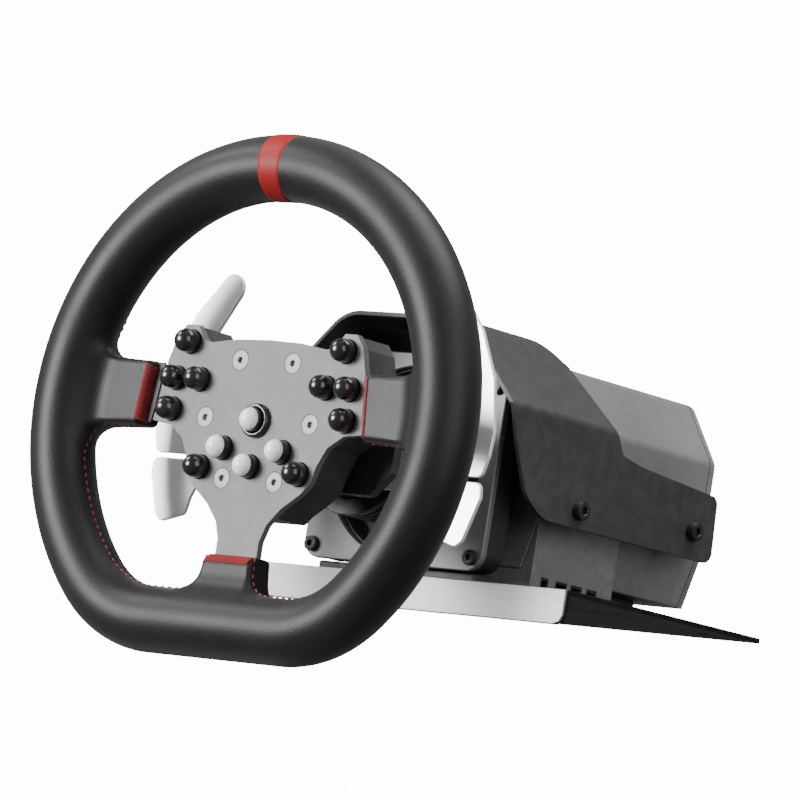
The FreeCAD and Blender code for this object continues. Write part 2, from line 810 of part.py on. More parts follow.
def body_prism(grow, y0, y1):
    """Motor housing's section, grown by a little, as a solid from y0 to y1."""
    w = body_half_width
    outline = mirrored([
        (0, body_top), (w - body_chamfer_x, body_top), (w, body_top - body_chamfer_z),
        (w, body_bottom + body_taper_z), (w - body_taper_x, body_bottom), (0, body_bottom),
    ])
    prism = slab(outline, y0, y1)
    prism = round_edges(prism, body_round, lambda e: along(e, V(0, 1, 0)) and e.Vertexes[0].Z > 0)
    if grow == 0.0:
        return prism
    face = [f for f in prism.Faces if f.BoundBox.YMax < y0 + 0.01][0]
    grown = face.OuterWire.makeOffset2D(grow, 2)
    return Part.Face(grown).extrude(V(0, y1 - y0, 0))


def motor_housing():
    """Heavy shell round the motor, closed at the front."""
    shell = body_prism(0.0, body_front, body_back)
    shell = shell.cut(rod(stator_radius, body_front + 8.0, 400))
    shell = shell.cut(rod(shaft_radius + 2.0, 0, 400))
    for x, z in END_SCREWS:
        shell = shell.cut(rod(1.8, body_back - 12.0, 400, x, z))
    for side in (-1, 1):
        for y, z in hood_bolts_yz:
            start = V(side * (body_half_width + 1), y, z)
            shell = shell.cut(Part.makeCylinder(2.1, 13.0, start, V(-side, 0, 0)))
    for x, y in FOOT_SCREWS + LOWER_SCREWS:
        shell = shell.cut(Part.makeCylinder(2.1, 9.0, V(x, y, body_bottom - 1)))
    return shell


def end_cap():
    """Rear cover with a bevelled edge and the seat of the rear bearing."""
    full = body_prism(0.0, body_back, body_back + cap_thickness)
    full = round_edges(full, 3.0, lambda e: e.BoundBox.YMin > body_back + cap_thickness - 0.01)
    seat_y = REAR_BEARING["y"]
    seat = rod(REAR_BEARING["outer"] + 5.0, seat_y - 1.0, body_back + 0.5)
    cap = fused([full, seat])
    cap = cap.cut(rod(REAR_BEARING["outer"], seat_y, seat_y + REAR_BEARING["width"] + 2.0))
    cap = cap.cut(rod(REAR_BEARING["outer"] - 4.0, seat_y - 2, body_back + 2.5))
    for x, z in END_SCREWS:
        cap = cap.cut(rod(2.1, 0, 400, x, z))
        cap = cap.cut(rod(3.9, body_back + cap_thickness - 2.5, 400, x, z))
    return cap


def end_screws():
    screws = []
    for x, z in END_SCREWS:
        top = body_back + cap_thickness - 2.5
        head = rod(3.6, top, top + 2.3, x, z).cut(hex_socket(x, z, 2.5, top + 1.0, top + 4))
        screws.append(fused([head, rod(1.75, body_back - 11.0, top, x, z)]))
    return Part.makeCompound(screws)


def encoder_board():
    """Small board on the front of the rear bearing's seat that reads the encoder disc."""
    y1 = REAR_BEARING["y"] - 1.0
    board = tube(REAR_BEARING["outer"] + 3.0, tail_radius + 1.5, y1 - board_thickness, y1)
    reader = box(12.0, 20.0, y1 - board_thickness - 1.4, y1 - board_thickness, -3, 3)
    return fused([board, reader])


def lower_housing():
    """Electronics tray between the base plate and the motor housing, with windows for the ports."""
    w = body_half_width
    y0 = body_front
    y1 = body_front + lower_length
    top = body_bottom + body_taper_z
    outer = box(-w, w, y0, y1, plate_top_z, top).cut(body_prism(seat_gap, y0 - 1, y1 + 1))
    wall = lower_wall
    inner = box(-w + wall, w - wall, y0 + wall, y1 - wall, plate_top_z + wall, top)
    inner = inner.cut(body_prism(seat_gap + wall, y0 - 1, y1 + 1))
    tray = outer.cut(inner)
    posts = [Part.makeCylinder(4.5, body_bottom - seat_gap - plate_top_z, V(x, y, plate_top_z))
             for x, y in LOWER_SCREWS]
    tray = fused([tray] + posts)
    for x, y in LOWER_SCREWS:
        tray = tray.cut(Part.makeCylinder(2.1, 30.0, V(x, y, plate_top_z - 1)))
    for y, half_width, half_height in PORTS:
        window = box(w - wall - 6, w + 1, y - half_width, y + half_width,
                     port_z - half_height, port_z + half_height)
        tray = tray.cut(window)
    return tray


def control_board():
    z0 = plate_top_z + lower_wall + 0.3
    board = box(-port_inner_x, port_inner_x - moving_gap, body_front + 6, body_front + lower_length - 6,
                z0, z0 + board_thickness)
    for x, y in LOWER_SCREWS:
        board = board.cut(Part.makeCylinder(4.5 + seat_gap, 30.0, V(x, y, plate_top_z - 1)))
    return board


def port_sockets():
    """Sockets in the tray's right-hand wall, each a block with its recess."""
    sockets = []
    w = body_half_width
    for y, half_width, half_height in PORTS:
        a = half_width - seat_gap
        b = half_height - seat_gap
        block = box(port_inner_x, w - 0.3, y - a, y + a, port_z - b, port_z + b)
        recess = box(port_inner_x + 3.0, w + 1, y - a + 1.0, y + a - 1.0, port_z - b + 1.0, port_z + b - 1.0)
        sockets.append(block.cut(recess))
    return Part.makeCompound(sockets)


def rear_feet():
    """Blocks that carry the motor housing's rear end on the base plate."""
    feet = []
    for x, y in FOOT_SCREWS:
        foot = box(x - 9, x + 9, y - 11, y + 11, plate_top_z, body_bottom)
        foot = round_edges(foot, 3.0, lambda e: along(e, V(0, 0, 1)))
        feet.append(foot.cut(Part.makeCylinder(2.1, 40.0, V(x, y, plate_top_z - 1))))
    return Part.makeCompound(feet)


def hood_section(inset):
    w = hood_half_width - inset
    top = hood_top - inset
    shift = inset * 0.41
    return mirrored([(0, top), (hood_flat_half - shift, top), (w, hood_crease_z - shift), (w, hood_bottom)])


def hood():
    """Bent sheet cover over the motor, open in front, behind and below."""
    inner = hood_bends(hood_sheet, hood_front - 1, hood_back + 1)
    inner = fused([inner, box(-hood_half_width + hood_sheet, hood_half_width - hood_sheet,
                              hood_front - 1, hood_back + 1, hood_bottom - 2, hood_bottom + 1)])
    sheet = hood_bends(0.0, hood_front, hood_back).cut(inner)
    return sheet.common(hood_side_view())


def hood_bends(inset, y0, y1):
    """The hood's section with its four bends rounded, moved inwards by inset, from y0 to y1."""
    split = hood_crease_z + 5.0
    solid = slab(hood_section(inset), y0, y1)
    solid = round_edges(solid, hood_top_bend - inset,
                        lambda e: along(e, V(0, 1, 0)) and e.Vertexes[0].Z > split)
    return round_edges(solid, hood_side_bend - inset,
                       lambda e: along(e, V(0, 1, 0)) and 0 < e.Vertexes[0].Z < split)


def hood_side_view():
    """Side outline of the hood as a solid as wide as the hood; each corner has its radius."""
    y0 = hood_front
    y1 = hood_back
    crease = hood_crease_z
    low = hood_bottom
    corners = [
        (y0, hood_top + 1, 0), (y0, crease, 0), (y0 + 8.0, crease - 20.0, 0), (y0 + 20.0, low + 10.5, 25.0),
        (y0 + 37.0, low, 25.0), (y1, low, 6.0), (y1 - 2.0, low + 35.5, 5.0), (y0 + 114.0, low + 40.5, 0),
        (y0 + 96.0, low + 43.5, 6.0), (y0 + 88.0, crease + 1.5, 0), (y0 + 77.0, hood_top - 12.0, 0),
        (y0 + 61.0, hood_top + 1, 0),
    ]
    w = hood_half_width + 1
    points = [V(-w, y, z) for y, z, radius in corners]
    face = Part.Face(Part.makePolygon(points + points[:1]))
    solid = face.extrude(V(2 * w, 0, 0))
    for y, z, radius in corners:
        if radius:
            solid = round_edges(solid, radius, lambda e: along(e, V(1, 0, 0)) and near(e, y, z))
    for side in (-1, 1):
        for y, z in hood_bolts_yz:
            solid = solid.cut(Part.makeCylinder(2.8, 20.0, V(side * (w + 2), y, z), V(-side, 0, 0)))
    return solid


def hood_spacers():
    """Tubes between the motor housing and the hood at each bolt."""
    inner_face = hood_half_width - hood_sheet
    spacers = []
    for y, z in hood_bolts_yz:
        outer = Part.makeCylinder(6.0, inner_face - body_half_width, V(body_half_width, y, z), V(1, 0, 0))
        bore = Part.makeCylinder(2.8, 60.0, V(body_half_width - 10, y, z), V(1, 0, 0))
        spacer = outer.cut(bore)
        spacers += [spacer, flip(spacer)]
    return Part.makeCompound(spacers)


def hood_bolts():
    bolts = []
    for y, z in hood_bolts_yz:
        start = body_half_width - 10.0
        shank = Part.makeCylinder(2.05, hood_half_width - start, V(start, y, z), V(1, 0, 0))
        washer = Part.makeCylinder(5.0, 1.0, V(hood_half_width, y, z), V(1, 0, 0))
        head = Part.makeCylinder(4.2, 4.6, V(hood_half_width, y, z), V(1, 0, 0))
        socket = Part.makeCylinder(1.9, 3.0, V(hood_half_width + 2.2, y, z), V(1, 0, 0))
        bolt = fused([shank, washer, head]).cut(socket)
        bolts += [bolt, flip(bolt)]
    return Part.makeCompound(bolts)


def base_plate():
    """Bent sheet: the flat plate and the flange turned down at its front."""
    w = base_half_width
    low = plate_top_z - base_thickness
    flat = box(-w, w, base_front, base_back, low, plate_top_z)
    flat = round_edges(flat, 6.0, lambda e: along(e, V(0, 0, 1)) and e.Vertexes[0].Y > base_front + 1)
    flange = slab(lip_outline(), base_front, base_front + base_thickness)
    plate = fused([flat, flange])
    plate = round_edges(plate, 2.0, lambda e: along(e, V(1, 0, 0)) and e.BoundBox.YMin < base_front + 0.01
                        and e.BoundBox.ZMin > plate_top_z - 0.01)
    for x in (-mount_half_x, mount_half_x):
        for y in (base_middle_y - mount_half_y, base_middle_y + mount_half_y):
            plate = plate.cut(Part.makeCylinder(mount_hole_radius, 20.0, V(x, y, low - 5)))
    for x, y in BLOCK_SCREWS + LOWER_SCREWS + FOOT_SCREWS:
        plate = plate.cut(Part.makeCone(4.4, 2.2, 2.2, V(x, y, low)))
        plate = plate.cut(Part.makeCylinder(2.2, 20.0, V(x, y, low)))
    return plate


def lip_outline():
    w = base_half_width
    low = plate_top_z - lip_drop
    return mirrored([(0, plate_top_z), (w, plate_top_z), (w, low + 5.0), (w - 1.5, low + 1.5),
                     (w - 5.0, low), (0, low)])


def front_trim():
    """Pale strip on the front of the turned-down flange."""
    strip = slab(lip_outline(), base_front - lip_sheet, base_front)
    return round_edges(strip, 0.5, lambda e: e.BoundBox.YMax < base_front - lip_sheet + 0.01)


def plate_screws():
    """Countersunk screws up through the base plate."""
    low = plate_top_z - base_thickness
    screws = []
    long_screw = base_thickness + 20.0
    for group, length in ((BLOCK_SCREWS, 9.0), (LOWER_SCREWS, long_screw), (FOOT_SCREWS, long_screw)):
        for x, y in group:
            cone = Part.makeCone(4.2, 2.0, 2.2, V(x, y, low + 0.1))
            shank = Part.makeCylinder(2.0, length, V(x, y, low + 0.1))
            socket = Part.makeCylinder(1.5, 1.2, V(x, y, low))
            screws.append(fused([cone, shank]).cut(socket))
    return Part.makeCompound(screws)


# ---- output -----------------------------------------------------------------------------
def write_part(name, shape):
    placed = shape.copy()
    placed.translate(V(0, -base_middle_y, axis_height))
    placed.exportStep(os.path.join("parts", name + ".step"))


def main():
    os.makedirs("parts", exist_ok=True)
    pieces = {
        "rim_grip": rim_grip(),
        "centre_marker": centre_marker(),
        "wheel_plate": wheel_plate(),
        "spoke_cover_right": spoke_cover_right(),
        "spoke_cover_left": flip(spoke_cover_right()),
        "spoke_cover_bottom": spoke_cover_bottom(),
        "hub_bolts": hub_bolts(),
        "centre_bezel": centre_bezel(),
        "button_board": button_board(),
        "button_switches": button_switches(),
        "hub_housing": hub_housing(),
        "hub_adapter": hub_adapter(),
        "paddle_carrier": paddle_carrier(),
        "paddle_pins": paddle_pins(),
        "paddle_switches": paddle_switches(),
        "shift_paddle_right": shift_paddle_right(),
        "shift_paddle_left": flip(shift_paddle_right()),
        "lower_paddle_right": lower_paddle_right(),
        "lower_paddle_left": flip(lower_paddle_right()),
        "release_collar": release_collar(),
        "main_shaft": main_shaft(),
        "rotor": rotor(),
        "encoder_disc": encoder_disc(),
        "inner_races": inner_races(),
        "outer_races": outer_races(),
        "bearing_balls": bearing_balls(),
        "stator": stator(),
        "stator_coils": stator_coils(),
        "encoder_board": encoder_board(),
        "motor_housing": motor_housing(),
        "end_cap": end_cap(),
        "end_screws": end_screws(),
        "lower_housing": lower_housing(),
        "control_board": control_board(),
        "port_sockets": port_sockets(),
        "rear_feet": rear_feet(),
        "bearing_block": bearing_block(),
        "front_shroud": front_shroud(),
        "face_plate": face_plate(),
        "face_bolts": face_bolts(),
        "hood": hood(),
        "hood_spacers": hood_spacers(),
        "hood_bolts": hood_bolts(),
        "base_plate": base_plate(),
        "front_trim": front_trim(),
        "plate_screws": plate_screws(),
    }
    for name, (x, z) in BUTTONS.items():
        pieces[name] = button_cap(x, z)
    for name, shape in pieces.items():
        write_part(name, shape)


main()
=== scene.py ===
import bpy
import bmesh
import json
import math
import numpy as np
from bpy.props import FloatProperty, FloatVectorProperty, IntProperty, PointerProperty
from mathutils import Matrix, Vector

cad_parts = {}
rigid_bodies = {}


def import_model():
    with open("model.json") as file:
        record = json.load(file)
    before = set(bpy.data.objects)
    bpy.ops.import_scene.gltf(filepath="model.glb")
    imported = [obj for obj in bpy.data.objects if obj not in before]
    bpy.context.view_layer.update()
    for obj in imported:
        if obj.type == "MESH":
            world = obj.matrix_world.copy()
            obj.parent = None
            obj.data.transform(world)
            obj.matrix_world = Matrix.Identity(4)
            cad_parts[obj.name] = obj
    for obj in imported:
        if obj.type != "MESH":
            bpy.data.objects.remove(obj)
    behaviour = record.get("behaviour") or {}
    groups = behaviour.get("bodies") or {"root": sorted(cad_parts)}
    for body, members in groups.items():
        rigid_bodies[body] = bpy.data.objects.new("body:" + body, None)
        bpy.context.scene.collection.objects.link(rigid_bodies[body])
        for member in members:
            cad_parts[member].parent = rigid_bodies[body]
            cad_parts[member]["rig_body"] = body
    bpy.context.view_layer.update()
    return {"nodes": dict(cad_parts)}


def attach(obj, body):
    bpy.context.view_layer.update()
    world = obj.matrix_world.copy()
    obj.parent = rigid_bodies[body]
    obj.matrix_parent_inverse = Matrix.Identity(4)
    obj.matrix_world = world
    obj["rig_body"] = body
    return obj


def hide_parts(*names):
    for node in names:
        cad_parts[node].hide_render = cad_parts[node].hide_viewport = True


for leftover in list(bpy.data.objects):
    bpy.data.objects.remove(leftover)

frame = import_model()

bl_info = {
    "name": "Racing Wheel",
    "version": (1, 0, 0),
    "blender": (4, 5, 0),
    "location": "3D View > Sidebar > Racing Wheel",
    "description": "Leather, metal and plastic pieces of a racing wheel on its motor base",
    "category": "Object",
}

# The steering axis is at x = 0, z = 0 here and y = 0 is the driver's side of the wheel's
# plate, in millimetres; row() turns such a point into the frame's metres.
AXIS_Y = -0.2025
AXIS_Z = 0.0615

MM = 0.001

# Centreline of the rim, a circle with two corners and a flat foot, and the grip round it
RIM_RADIUS = 126.0
RIM_CENTRE_Z = 2.5
FLAT_Z = -105.5
CORNER_RADIUS = 63.0
CORNER_X = 44.09
CORNER_Z = -42.5
JOIN_ANGLE = math.radians(-45.58)
GRIP_Y = -5.5
GRIP_RADIUS = 17.0
MARKER_HALF_ANGLE = math.radians(3.18)

# The leather over the three arms: its thickness along y, and where the arms start and end
SPOKE_Y = 1.5
SPOKE_HALF_DEPTH = 8.5
SPOKE_FRONT_Y = -7.0
SPOKE_ROUNDING = 3.0
SIDE_SPOKE_Z = 9.75
SIDE_SPOKE_ROOT = 72.0
SIDE_SPOKE_SLANT = 0.10
LOWER_SPOKE_ROOT = 69.0
LEATHER_BOX = ((-147.0, -27.0, -127.0), (147.0, 15.0, 150.0))
THREAD_SPACING = 1.15

# Where the bolts and screws stand, and the y of the faces they stand on
HUB_BOLTS_RADIUS = 35.0
HOOD_BOLT_X = 81.0
HOOD_BOLTS_YZ = ((166.0, -13.0), (264.0, -8.0))
FACE_BOLTS_X = (-53.5, 53.5)
FACE_BOLTS_Z = (-47.0, 42.0)
FACE_Y = 120.0
END_SCREWS_X = (-46.0, 46.0)
END_SCREWS_Z = (34.0, -24.0)
END_CAP_Y = 299.5

FORWARD, BACK = (0.0, -1.0, 0.0), (0.0, 1.0, 0.0)

# Name, place, the point it faces and width in metres of each light
LIGHTS = (
    ("key", (-1.55, -2.75, 0.34), (0.0, -0.15, 0.06), 1.35),
    ("upper", (-2.0, -1.35, 1.95), (0.0, -0.15, 0.06), 0.9),
    ("top", (0.6, 0.2, 2.4), (0.0, 0.0, 0.06), 1.8),
    ("fill", (2.6, -1.0, 0.8), (0.0, 0.0, 0.06), 2.3),
)
CAMERA_PLACE = (2.0752, -2.5608, -0.2371)
CAMERA_TARGET = (0.0067, -0.1025, 0.0905)
FLOOR_HALF_WIDTH = 3.0
WHITE = (1.0, 1.0, 1.0, 1.0)

# x and z of each button, a cap with a domed front
BUTTONS = {
    "button_ear_left": (-52.0, 38.0), "button_ear_right": (52.0, 38.0),
    "button_outer_left": (-58.0, 19.0), "button_inner_left": (-42.0, 19.0),
    "button_inner_right": (42.0, 19.0), "button_outer_right": (58.0, 19.0),
    "button_side_left": (-58.0, 3.0), "button_side_right": (58.0, 3.0),
    "button_low_left": (-33.0, -25.5), "button_low_right": (33.0, -25.5),
    "button_face_left": (-19.6, -15.0), "button_face_right": (19.6, -15.0),
    "button_face_low": (0.0, -23.5), "button_centre": (0.0, 0.0),
}
CAP_RADIUS = 6.0
DOME_Y = -4.6
PALE_BUTTONS = ("button_face_left", "button_face_right", "button_face_low", "button_centre")


def row(x, y, z):
    """A point about the steering axis, in millimetres, in the frame's metres."""
    return (x * MM, y * MM + AXIS_Y, z * MM + AXIS_Z)


def rows(points):
    """An array of such points, turned in the same way."""
    return np.asarray(points, float) * MM + np.array([0.0, AXIS_Y, AXIS_Z])


# Sizes and colours that a user may change
class WheelSizes(bpy.types.PropertyGroup):
    leather_step: FloatProperty(
        name="Leather step", description="Distance between the leather skin's points, in millimetres",
        default=1.5, min=1.0, max=4.0)
    leather_fillet: FloatProperty(
        name="Leather fillet",
        description="How widely the spokes' leather runs into the rim, in millimetres", default=12.0,
        min=1.0, max=25.0)
    stitch_pitch: FloatProperty(
        name="Stitch pitch", description="Distance from one stitch to the next", default=0.0042,
        unit="LENGTH")
    stitch_length: FloatProperty(
        name="Stitch length", description="Length of one stitch", default=0.0026, unit="LENGTH")
    stitch_thickness: FloatProperty(
        name="Stitch thickness", description="Thickness of the sewing thread", default=0.0009,
        unit="LENGTH")
    band_thread: FloatProperty(
        name="Band thread radius", description="Radius of the threads at the spokes' ends",
        default=0.00048, unit="LENGTH")
    edge_round: FloatProperty(
        name="Edge rounding", description="Width of the rounding along cut and folded metal edges",
        default=0.0004, unit="LENGTH")
    casting_round: FloatProperty(
        name="Casting rounding", description="Width of the rounding along cast edges", default=0.001,
        unit="LENGTH")
    scatter_seed: IntProperty(
        name="Seed", description="Seed of the small differences between stitches and screws", default=7,
        min=0)


class WheelColours(bpy.types.PropertyGroup):
    leather: FloatVectorProperty(
        name="Leather", description="Colour of the rim's leather", subtype="COLOR",
        default=(0.006, 0.006, 0.0063), min=0.0, max=1.0)
    marker: FloatVectorProperty(
        name="Marker", description="Colour of the band at the top of the rim", subtype="COLOR",
        default=(0.26, 0.014, 0.014), min=0.0, max=1.0)
    thread: FloatVectorProperty(
        name="Thread", description="Colour of the sewing thread", subtype="COLOR",
        default=(0.30, 0.008, 0.01), min=0.0, max=1.0)
    plate: FloatVectorProperty(
        name="Plate", description="Colour of the wheel's metal plate", subtype="COLOR",
        default=(0.152, 0.152, 0.156), min=0.0, max=1.0)
    hood: FloatVectorProperty(
        name="Hood", description="Colour of the folded hood's coat", subtype="COLOR",
        default=(0.040, 0.0405, 0.042), min=0.0, max=1.0)
    housing: FloatVectorProperty(
        name="Housing", description="Colour of the motor housing's coat", subtype="COLOR",
        default=(0.175, 0.175, 0.18), min=0.0, max=1.0)
    paddle: FloatVectorProperty(
        name="Paddles", description="Colour of the paddles' metal", subtype="COLOR",
        default=(1.0, 1.0, 1.0), min=0.0, max=1.0)


class StudioSettings(bpy.types.PropertyGroup):
    lens: FloatProperty(
        name="Lens", description="Focal length of the camera, in millimetres", default=282.15, min=20.0)
    roll: FloatProperty(
        name="Roll", description="Camera's roll about its own axis", subtype="ANGLE",
        default=math.radians(8.916))
    key_power: FloatProperty(
        name="Key light", description="Power of the large soft light ahead of the wheel, in watts",
        default=215.0, min=0.0)
    upper_power: FloatProperty(
        name="Upper light", description="Power of the light at the upper left, in watts", default=40.0,
        min=0.0)
    top_power: FloatProperty(
        name="Top light", description="Power of the soft light overhead, in watts", default=85.0,
        min=0.0)
    fill_power: FloatProperty(
        name="Fill light", description="Power of the soft light on the driver's right, in watts",
        default=50.0, min=0.0)
    surroundings: FloatProperty(
        name="Surroundings", description="Brightness of the room that the object reflects",
        default=0.20, min=0.0)
    backdrop: FloatProperty(
        name="Backdrop", description="Brightness of the white behind the object", default=14.0, min=0.0)
    floor_height: FloatProperty(
        name="Floor height", description="Height of the floor", default=-0.10, unit="LENGTH")


def sizes():
    """The sizes that the scene holds."""
    return bpy.context.scene.wheel_sizes


def colours():
    """The colours that the scene holds."""
    return bpy.context.scene.wheel_colours


# Node helpers
def put(tree, kind, inputs=None, **settings):
    """Adds a node, sets it up, and links or fills its inputs by name or place. A node given as
    an input stands for its first output."""
    made = tree.nodes.new(kind)
    for key, value in settings.items():
        setattr(made, key, value)
    for key, value in (inputs or {}).items():
        socket = made.inputs[key]
        if isinstance(value, bpy.types.Node):
            value = value.outputs[0]
        if isinstance(value, bpy.types.NodeSocket):
            tree.links.new(value, socket)
        else:
            socket.default_value = value
    return made


def maths(tree, operation, first, second=0.0, clamp=False):
    """Result of one operation on two values."""
    values = {0: first, 1: second}
    return put(tree, "ShaderNodeMath", values, operation=operation, use_clamp=clamp).outputs[0]


def noise(tree, vector, scale, detail, **inputs):
    """Value of a noise pattern."""
    inputs = {"Vector": vector, "Scale": scale, "Detail": detail, **inputs}
    return put(tree, "ShaderNodeTexNoise", inputs).outputs[0]


def ramp(tree, value, low, high, start=0.0, end=1.0):
    """The value, stretched from low and high to start and end and held between them."""
    return put(tree, "ShaderNodeMapRange", {0: value, 1: low, 2: high, 3: start, 4: end}).outputs[0]


def mixed(tree, share, first, second):
    """Blend of two colours."""
    return put(tree, "ShaderNodeMix", {0: share, 6: first, 7: second}, data_type="RGBA").outputs[2]


def cleared(owner):
    """The emptied node tree of a material or a world."""
    owner.use_nodes = True
    owner.node_tree.nodes.clear()
    return owner.node_tree


def built_once(name):
    """Decorator: the node group of this name is built when first asked for, then found again."""
    def wrap(build):
        return lambda: bpy.data.node_groups.get(name) or build(name)
    return wrap


def new_group(name, kind, inputs, outputs):
    """Empty node group; returns it, the sockets of its inputs and its output node."""
    group = bpy.data.node_groups.new(name, kind)
    for label, what in outputs:
        group.interface.new_socket(label, in_out="OUTPUT", socket_type="NodeSocket" + what)
    for label, what, *value in inputs:
        socket = group.interface.new_socket(label, in_out="INPUT", socket_type="NodeSocket" + what)
        if value:
            socket.default_value = value[0]
    start = group.nodes.new("NodeGroupInput")
    return group, start.outputs[:len(inputs)], group.nodes.new("NodeGroupOutput")


def pattern_group(name, scale, patch, *extra):
    """Shader group with the sockets that every finish links."""
    inputs = [("Vector", "Vector"), ("Scale", "Float", scale), ("Patch scale", "Float", patch), *extra]
    return new_group(name, "ShaderNodeTree", inputs, [("Height", "Float"), ("Shade", "Float")])


def close_pattern(group, end, height, first, second, share):
    """Ends a pattern: its height, and a shade made of a share of first and the rest of second."""
    shade = maths(
        group, "ADD", maths(group, "MULTIPLY", first, share),
        maths(group, "MULTIPLY", second, 1.0 - share))
    group.links.new(height, end.inputs[0])
    group.links.new(shade, end.inputs[1])
    return group


@built_once("CoatGrain")
def coat_grain(name):
    """Fine dots of a powder coat or a casting, with slow patches over them."""
    group, (vector, scale, patch_scale), end = pattern_group(name, 900.0, 18.0)
    fine = noise(group, vector, scale, 3.0, Roughness=0.6)
    patch = noise(group, vector, patch_scale, 2.0)
    return close_pattern(group, end, fine, fine, patch, 0.45)


@built_once("LeatherCells")
def leather_cells(name):
    """Pebbles of smooth leather: rounded cells with creases between them and fine pores."""
    group, (vector, scale, patch_scale), end = pattern_group(name, 900.0, 25.0)
    pores = noise(group, vector, scale, 2.0)
    cells = put(
        group, "ShaderNodeTexVoronoi", {"Vector": vector, "Scale": scale, "Smoothness": 0.6},
        feature="SMOOTH_F1")
    hollow = maths(group, "POWER", cells.outputs["Distance"], 1.6)
    height = maths(group, "SUBTRACT", maths(group, "MULTIPLY", pores, 0.5), hollow)
    patch = noise(group, vector, patch_scale, 3.0)
    return close_pattern(group, end, height, patch, pores, 0.7)


@built_once("BrushLines")
def brush_lines(name):
    """Long fine scratches of brushed metal; Stretch is how often they change along each axis."""
    group, (vector, scale, patch_scale, stretch), end = pattern_group(
        name, 60.0, 6.0, ("Stretch", "Vector", (1.0, 30.0, 30.0)))
    pulled = put(group, "ShaderNodeVectorMath", {0: vector, 1: stretch}, operation="MULTIPLY")
    lines = noise(group, pulled, scale, 4.0, Roughness=0.65)
    patch = noise(group, vector, patch_scale, 2.0)
    return close_pattern(group, end, lines, lines, patch, 0.7)


@built_once("EdgeWear")
def edge_wear(name):
    """Mask of the outer edges, broken up so that they look rubbed rather than outlined."""
    group, (vector, amount), end = new_group(
        name, "ShaderNodeTree", [("Vector", "Vector"), ("Amount", "Float", 0.4)], [("Mask", "Float")])
    curve = group.nodes.new("ShaderNodeNewGeometry")
    edge = ramp(group, curve.outputs["Pointiness"], 0.515, 0.60)
    broken = ramp(group, noise(group, vector, 140.0, 3.0), 0.42, 0.62)
    mask = maths(group, "MULTIPLY", maths(group, "MULTIPLY", edge, broken), amount, clamp=True)
    group.links.new(mask, end.inputs[0])
    return group


# Finishes
# Colour or the name of one that the user may change, pattern, its scale, patch scale, bump height
# in metres, metal, roughness from and to, how far the shade changes, edge wear, then the shader's
# own constant sockets
GRAIN, CELLS, LINES = coat_grain, leather_cells, brush_lines
FINISHES = {
    "grip_leather": (
        "leather", CELLS, 900.0, 22.0, 0.00007, 0.0, 0.42, 0.50, 0.25, 0.0,
        {"Specular IOR Level": 0.28, "Sheen Weight": 0.08, "Sheen Roughness": 0.5}),
    "marker_leather": (
        "marker", CELLS, 900.0, 22.0, 0.00007, 0.0, 0.42, 0.55, 0.22, 0.0,
        {"Specular IOR Level": 0.19}),
    "thread_red": (
        "thread", LINES, 900.0, 60.0, 0.00010, 0.0, 0.62, 0.8, 0.35, 0.0, {"Sheen Weight": 0.2}),
    "plate_metal": (
        "plate", GRAIN, 2600.0, 30.0, 0.00002, 0.15, 0.46, 0.58, 0.16, 0.35,
        {"Specular IOR Level": 0.24}),
    "bolt_steel": ((0.30, 0.30, 0.31), LINES, 300.0, 60.0, 0.00002, 0.30, 0.46, 0.60, 0.25, 0.2, {}),
    "black_steel": ((0.020, 0.020, 0.021), GRAIN, 1500.0, 60.0, 0.00002, 0.35, 0.34, 0.5, 0.35, 0.5, {}),
    "gloss_black": (
        (0.012, 0.012, 0.013), GRAIN, 300.0, 30.0, 0.000006, 0.0, 0.20, 0.30, 0.3, 0.0,
        {"Coat Weight": 0.4, "Coat Roughness": 0.14}),
    "gloss_white": (
        (0.94, 0.94, 0.94), GRAIN, 300.0, 30.0, 0.000006, 0.0, 0.14, 0.24, 0.08, 0.0,
        {"Coat Weight": 0.3, "Coat Roughness": 0.08}),
    "black_plastic": ((0.021, 0.021, 0.022), GRAIN, 1800.0, 30.0, 0.00003, 0.0, 0.48, 0.62, 0.3, 0.15, {}),
    "board_green": ((0.02, 0.13, 0.06), LINES, 120.0, 40.0, 0.00003, 0.0, 0.3, 0.42, 0.3, 0.0, {}),
    "paddle_metal": ("paddle", LINES, 40.0, 12.0, 0.00001, 0.6, 0.34, 0.46, 0.04, 0.0, {}),
    "adapter_metal": ((0.030, 0.030, 0.033), LINES, 60.0, 20.0, 0.00002, 0.7, 0.3, 0.42, 0.3, 0.5, {}),
    "shaft_steel": ((0.55, 0.55, 0.56), LINES, 90.0, 20.0, 0.00001, 0.95, 0.2, 0.32, 0.2, 0.1, {}),
    "magnet_steel": ((0.20, 0.20, 0.21), LINES, 90.0, 30.0, 0.00003, 0.8, 0.4, 0.55, 0.3, 0.3, {}),
    "copper": ((0.60, 0.24, 0.10), LINES, 200.0, 40.0, 0.0001, 0.85, 0.28, 0.42, 0.3, 0.0, {}),
    "housing_grey": ("housing", GRAIN, 1500.0, 14.0, 0.00005, 0.15, 0.46, 0.6, 0.22, 0.35, {}),
    "face_grey": ((0.17, 0.17, 0.173), GRAIN, 1900.0, 20.0, 0.00003, 0.25, 0.36, 0.5, 0.18, 0.4, {}),
    "block_grey": ((0.036, 0.036, 0.038), GRAIN, 1100.0, 20.0, 0.00006, 0.2, 0.46, 0.6, 0.3, 0.4, {}),
    "hood_grey": ("hood", GRAIN, 1900.0, 10.0, 0.00003, 0.15, 0.40, 0.54, 0.2, 0.45, {}),
    "plate_black": (
        (0.006, 0.006, 0.0065), GRAIN, 1700.0, 20.0, 0.00004, 0.0, 0.46, 0.60, 0.3, 0.3,
        {"Specular IOR Level": 0.12}),
    "trim_silver": ((0.245, 0.245, 0.253), LINES, 26.0, 6.0, 0.00002, 0.45, 0.30, 0.44, 0.34, 0.2, {}),
}
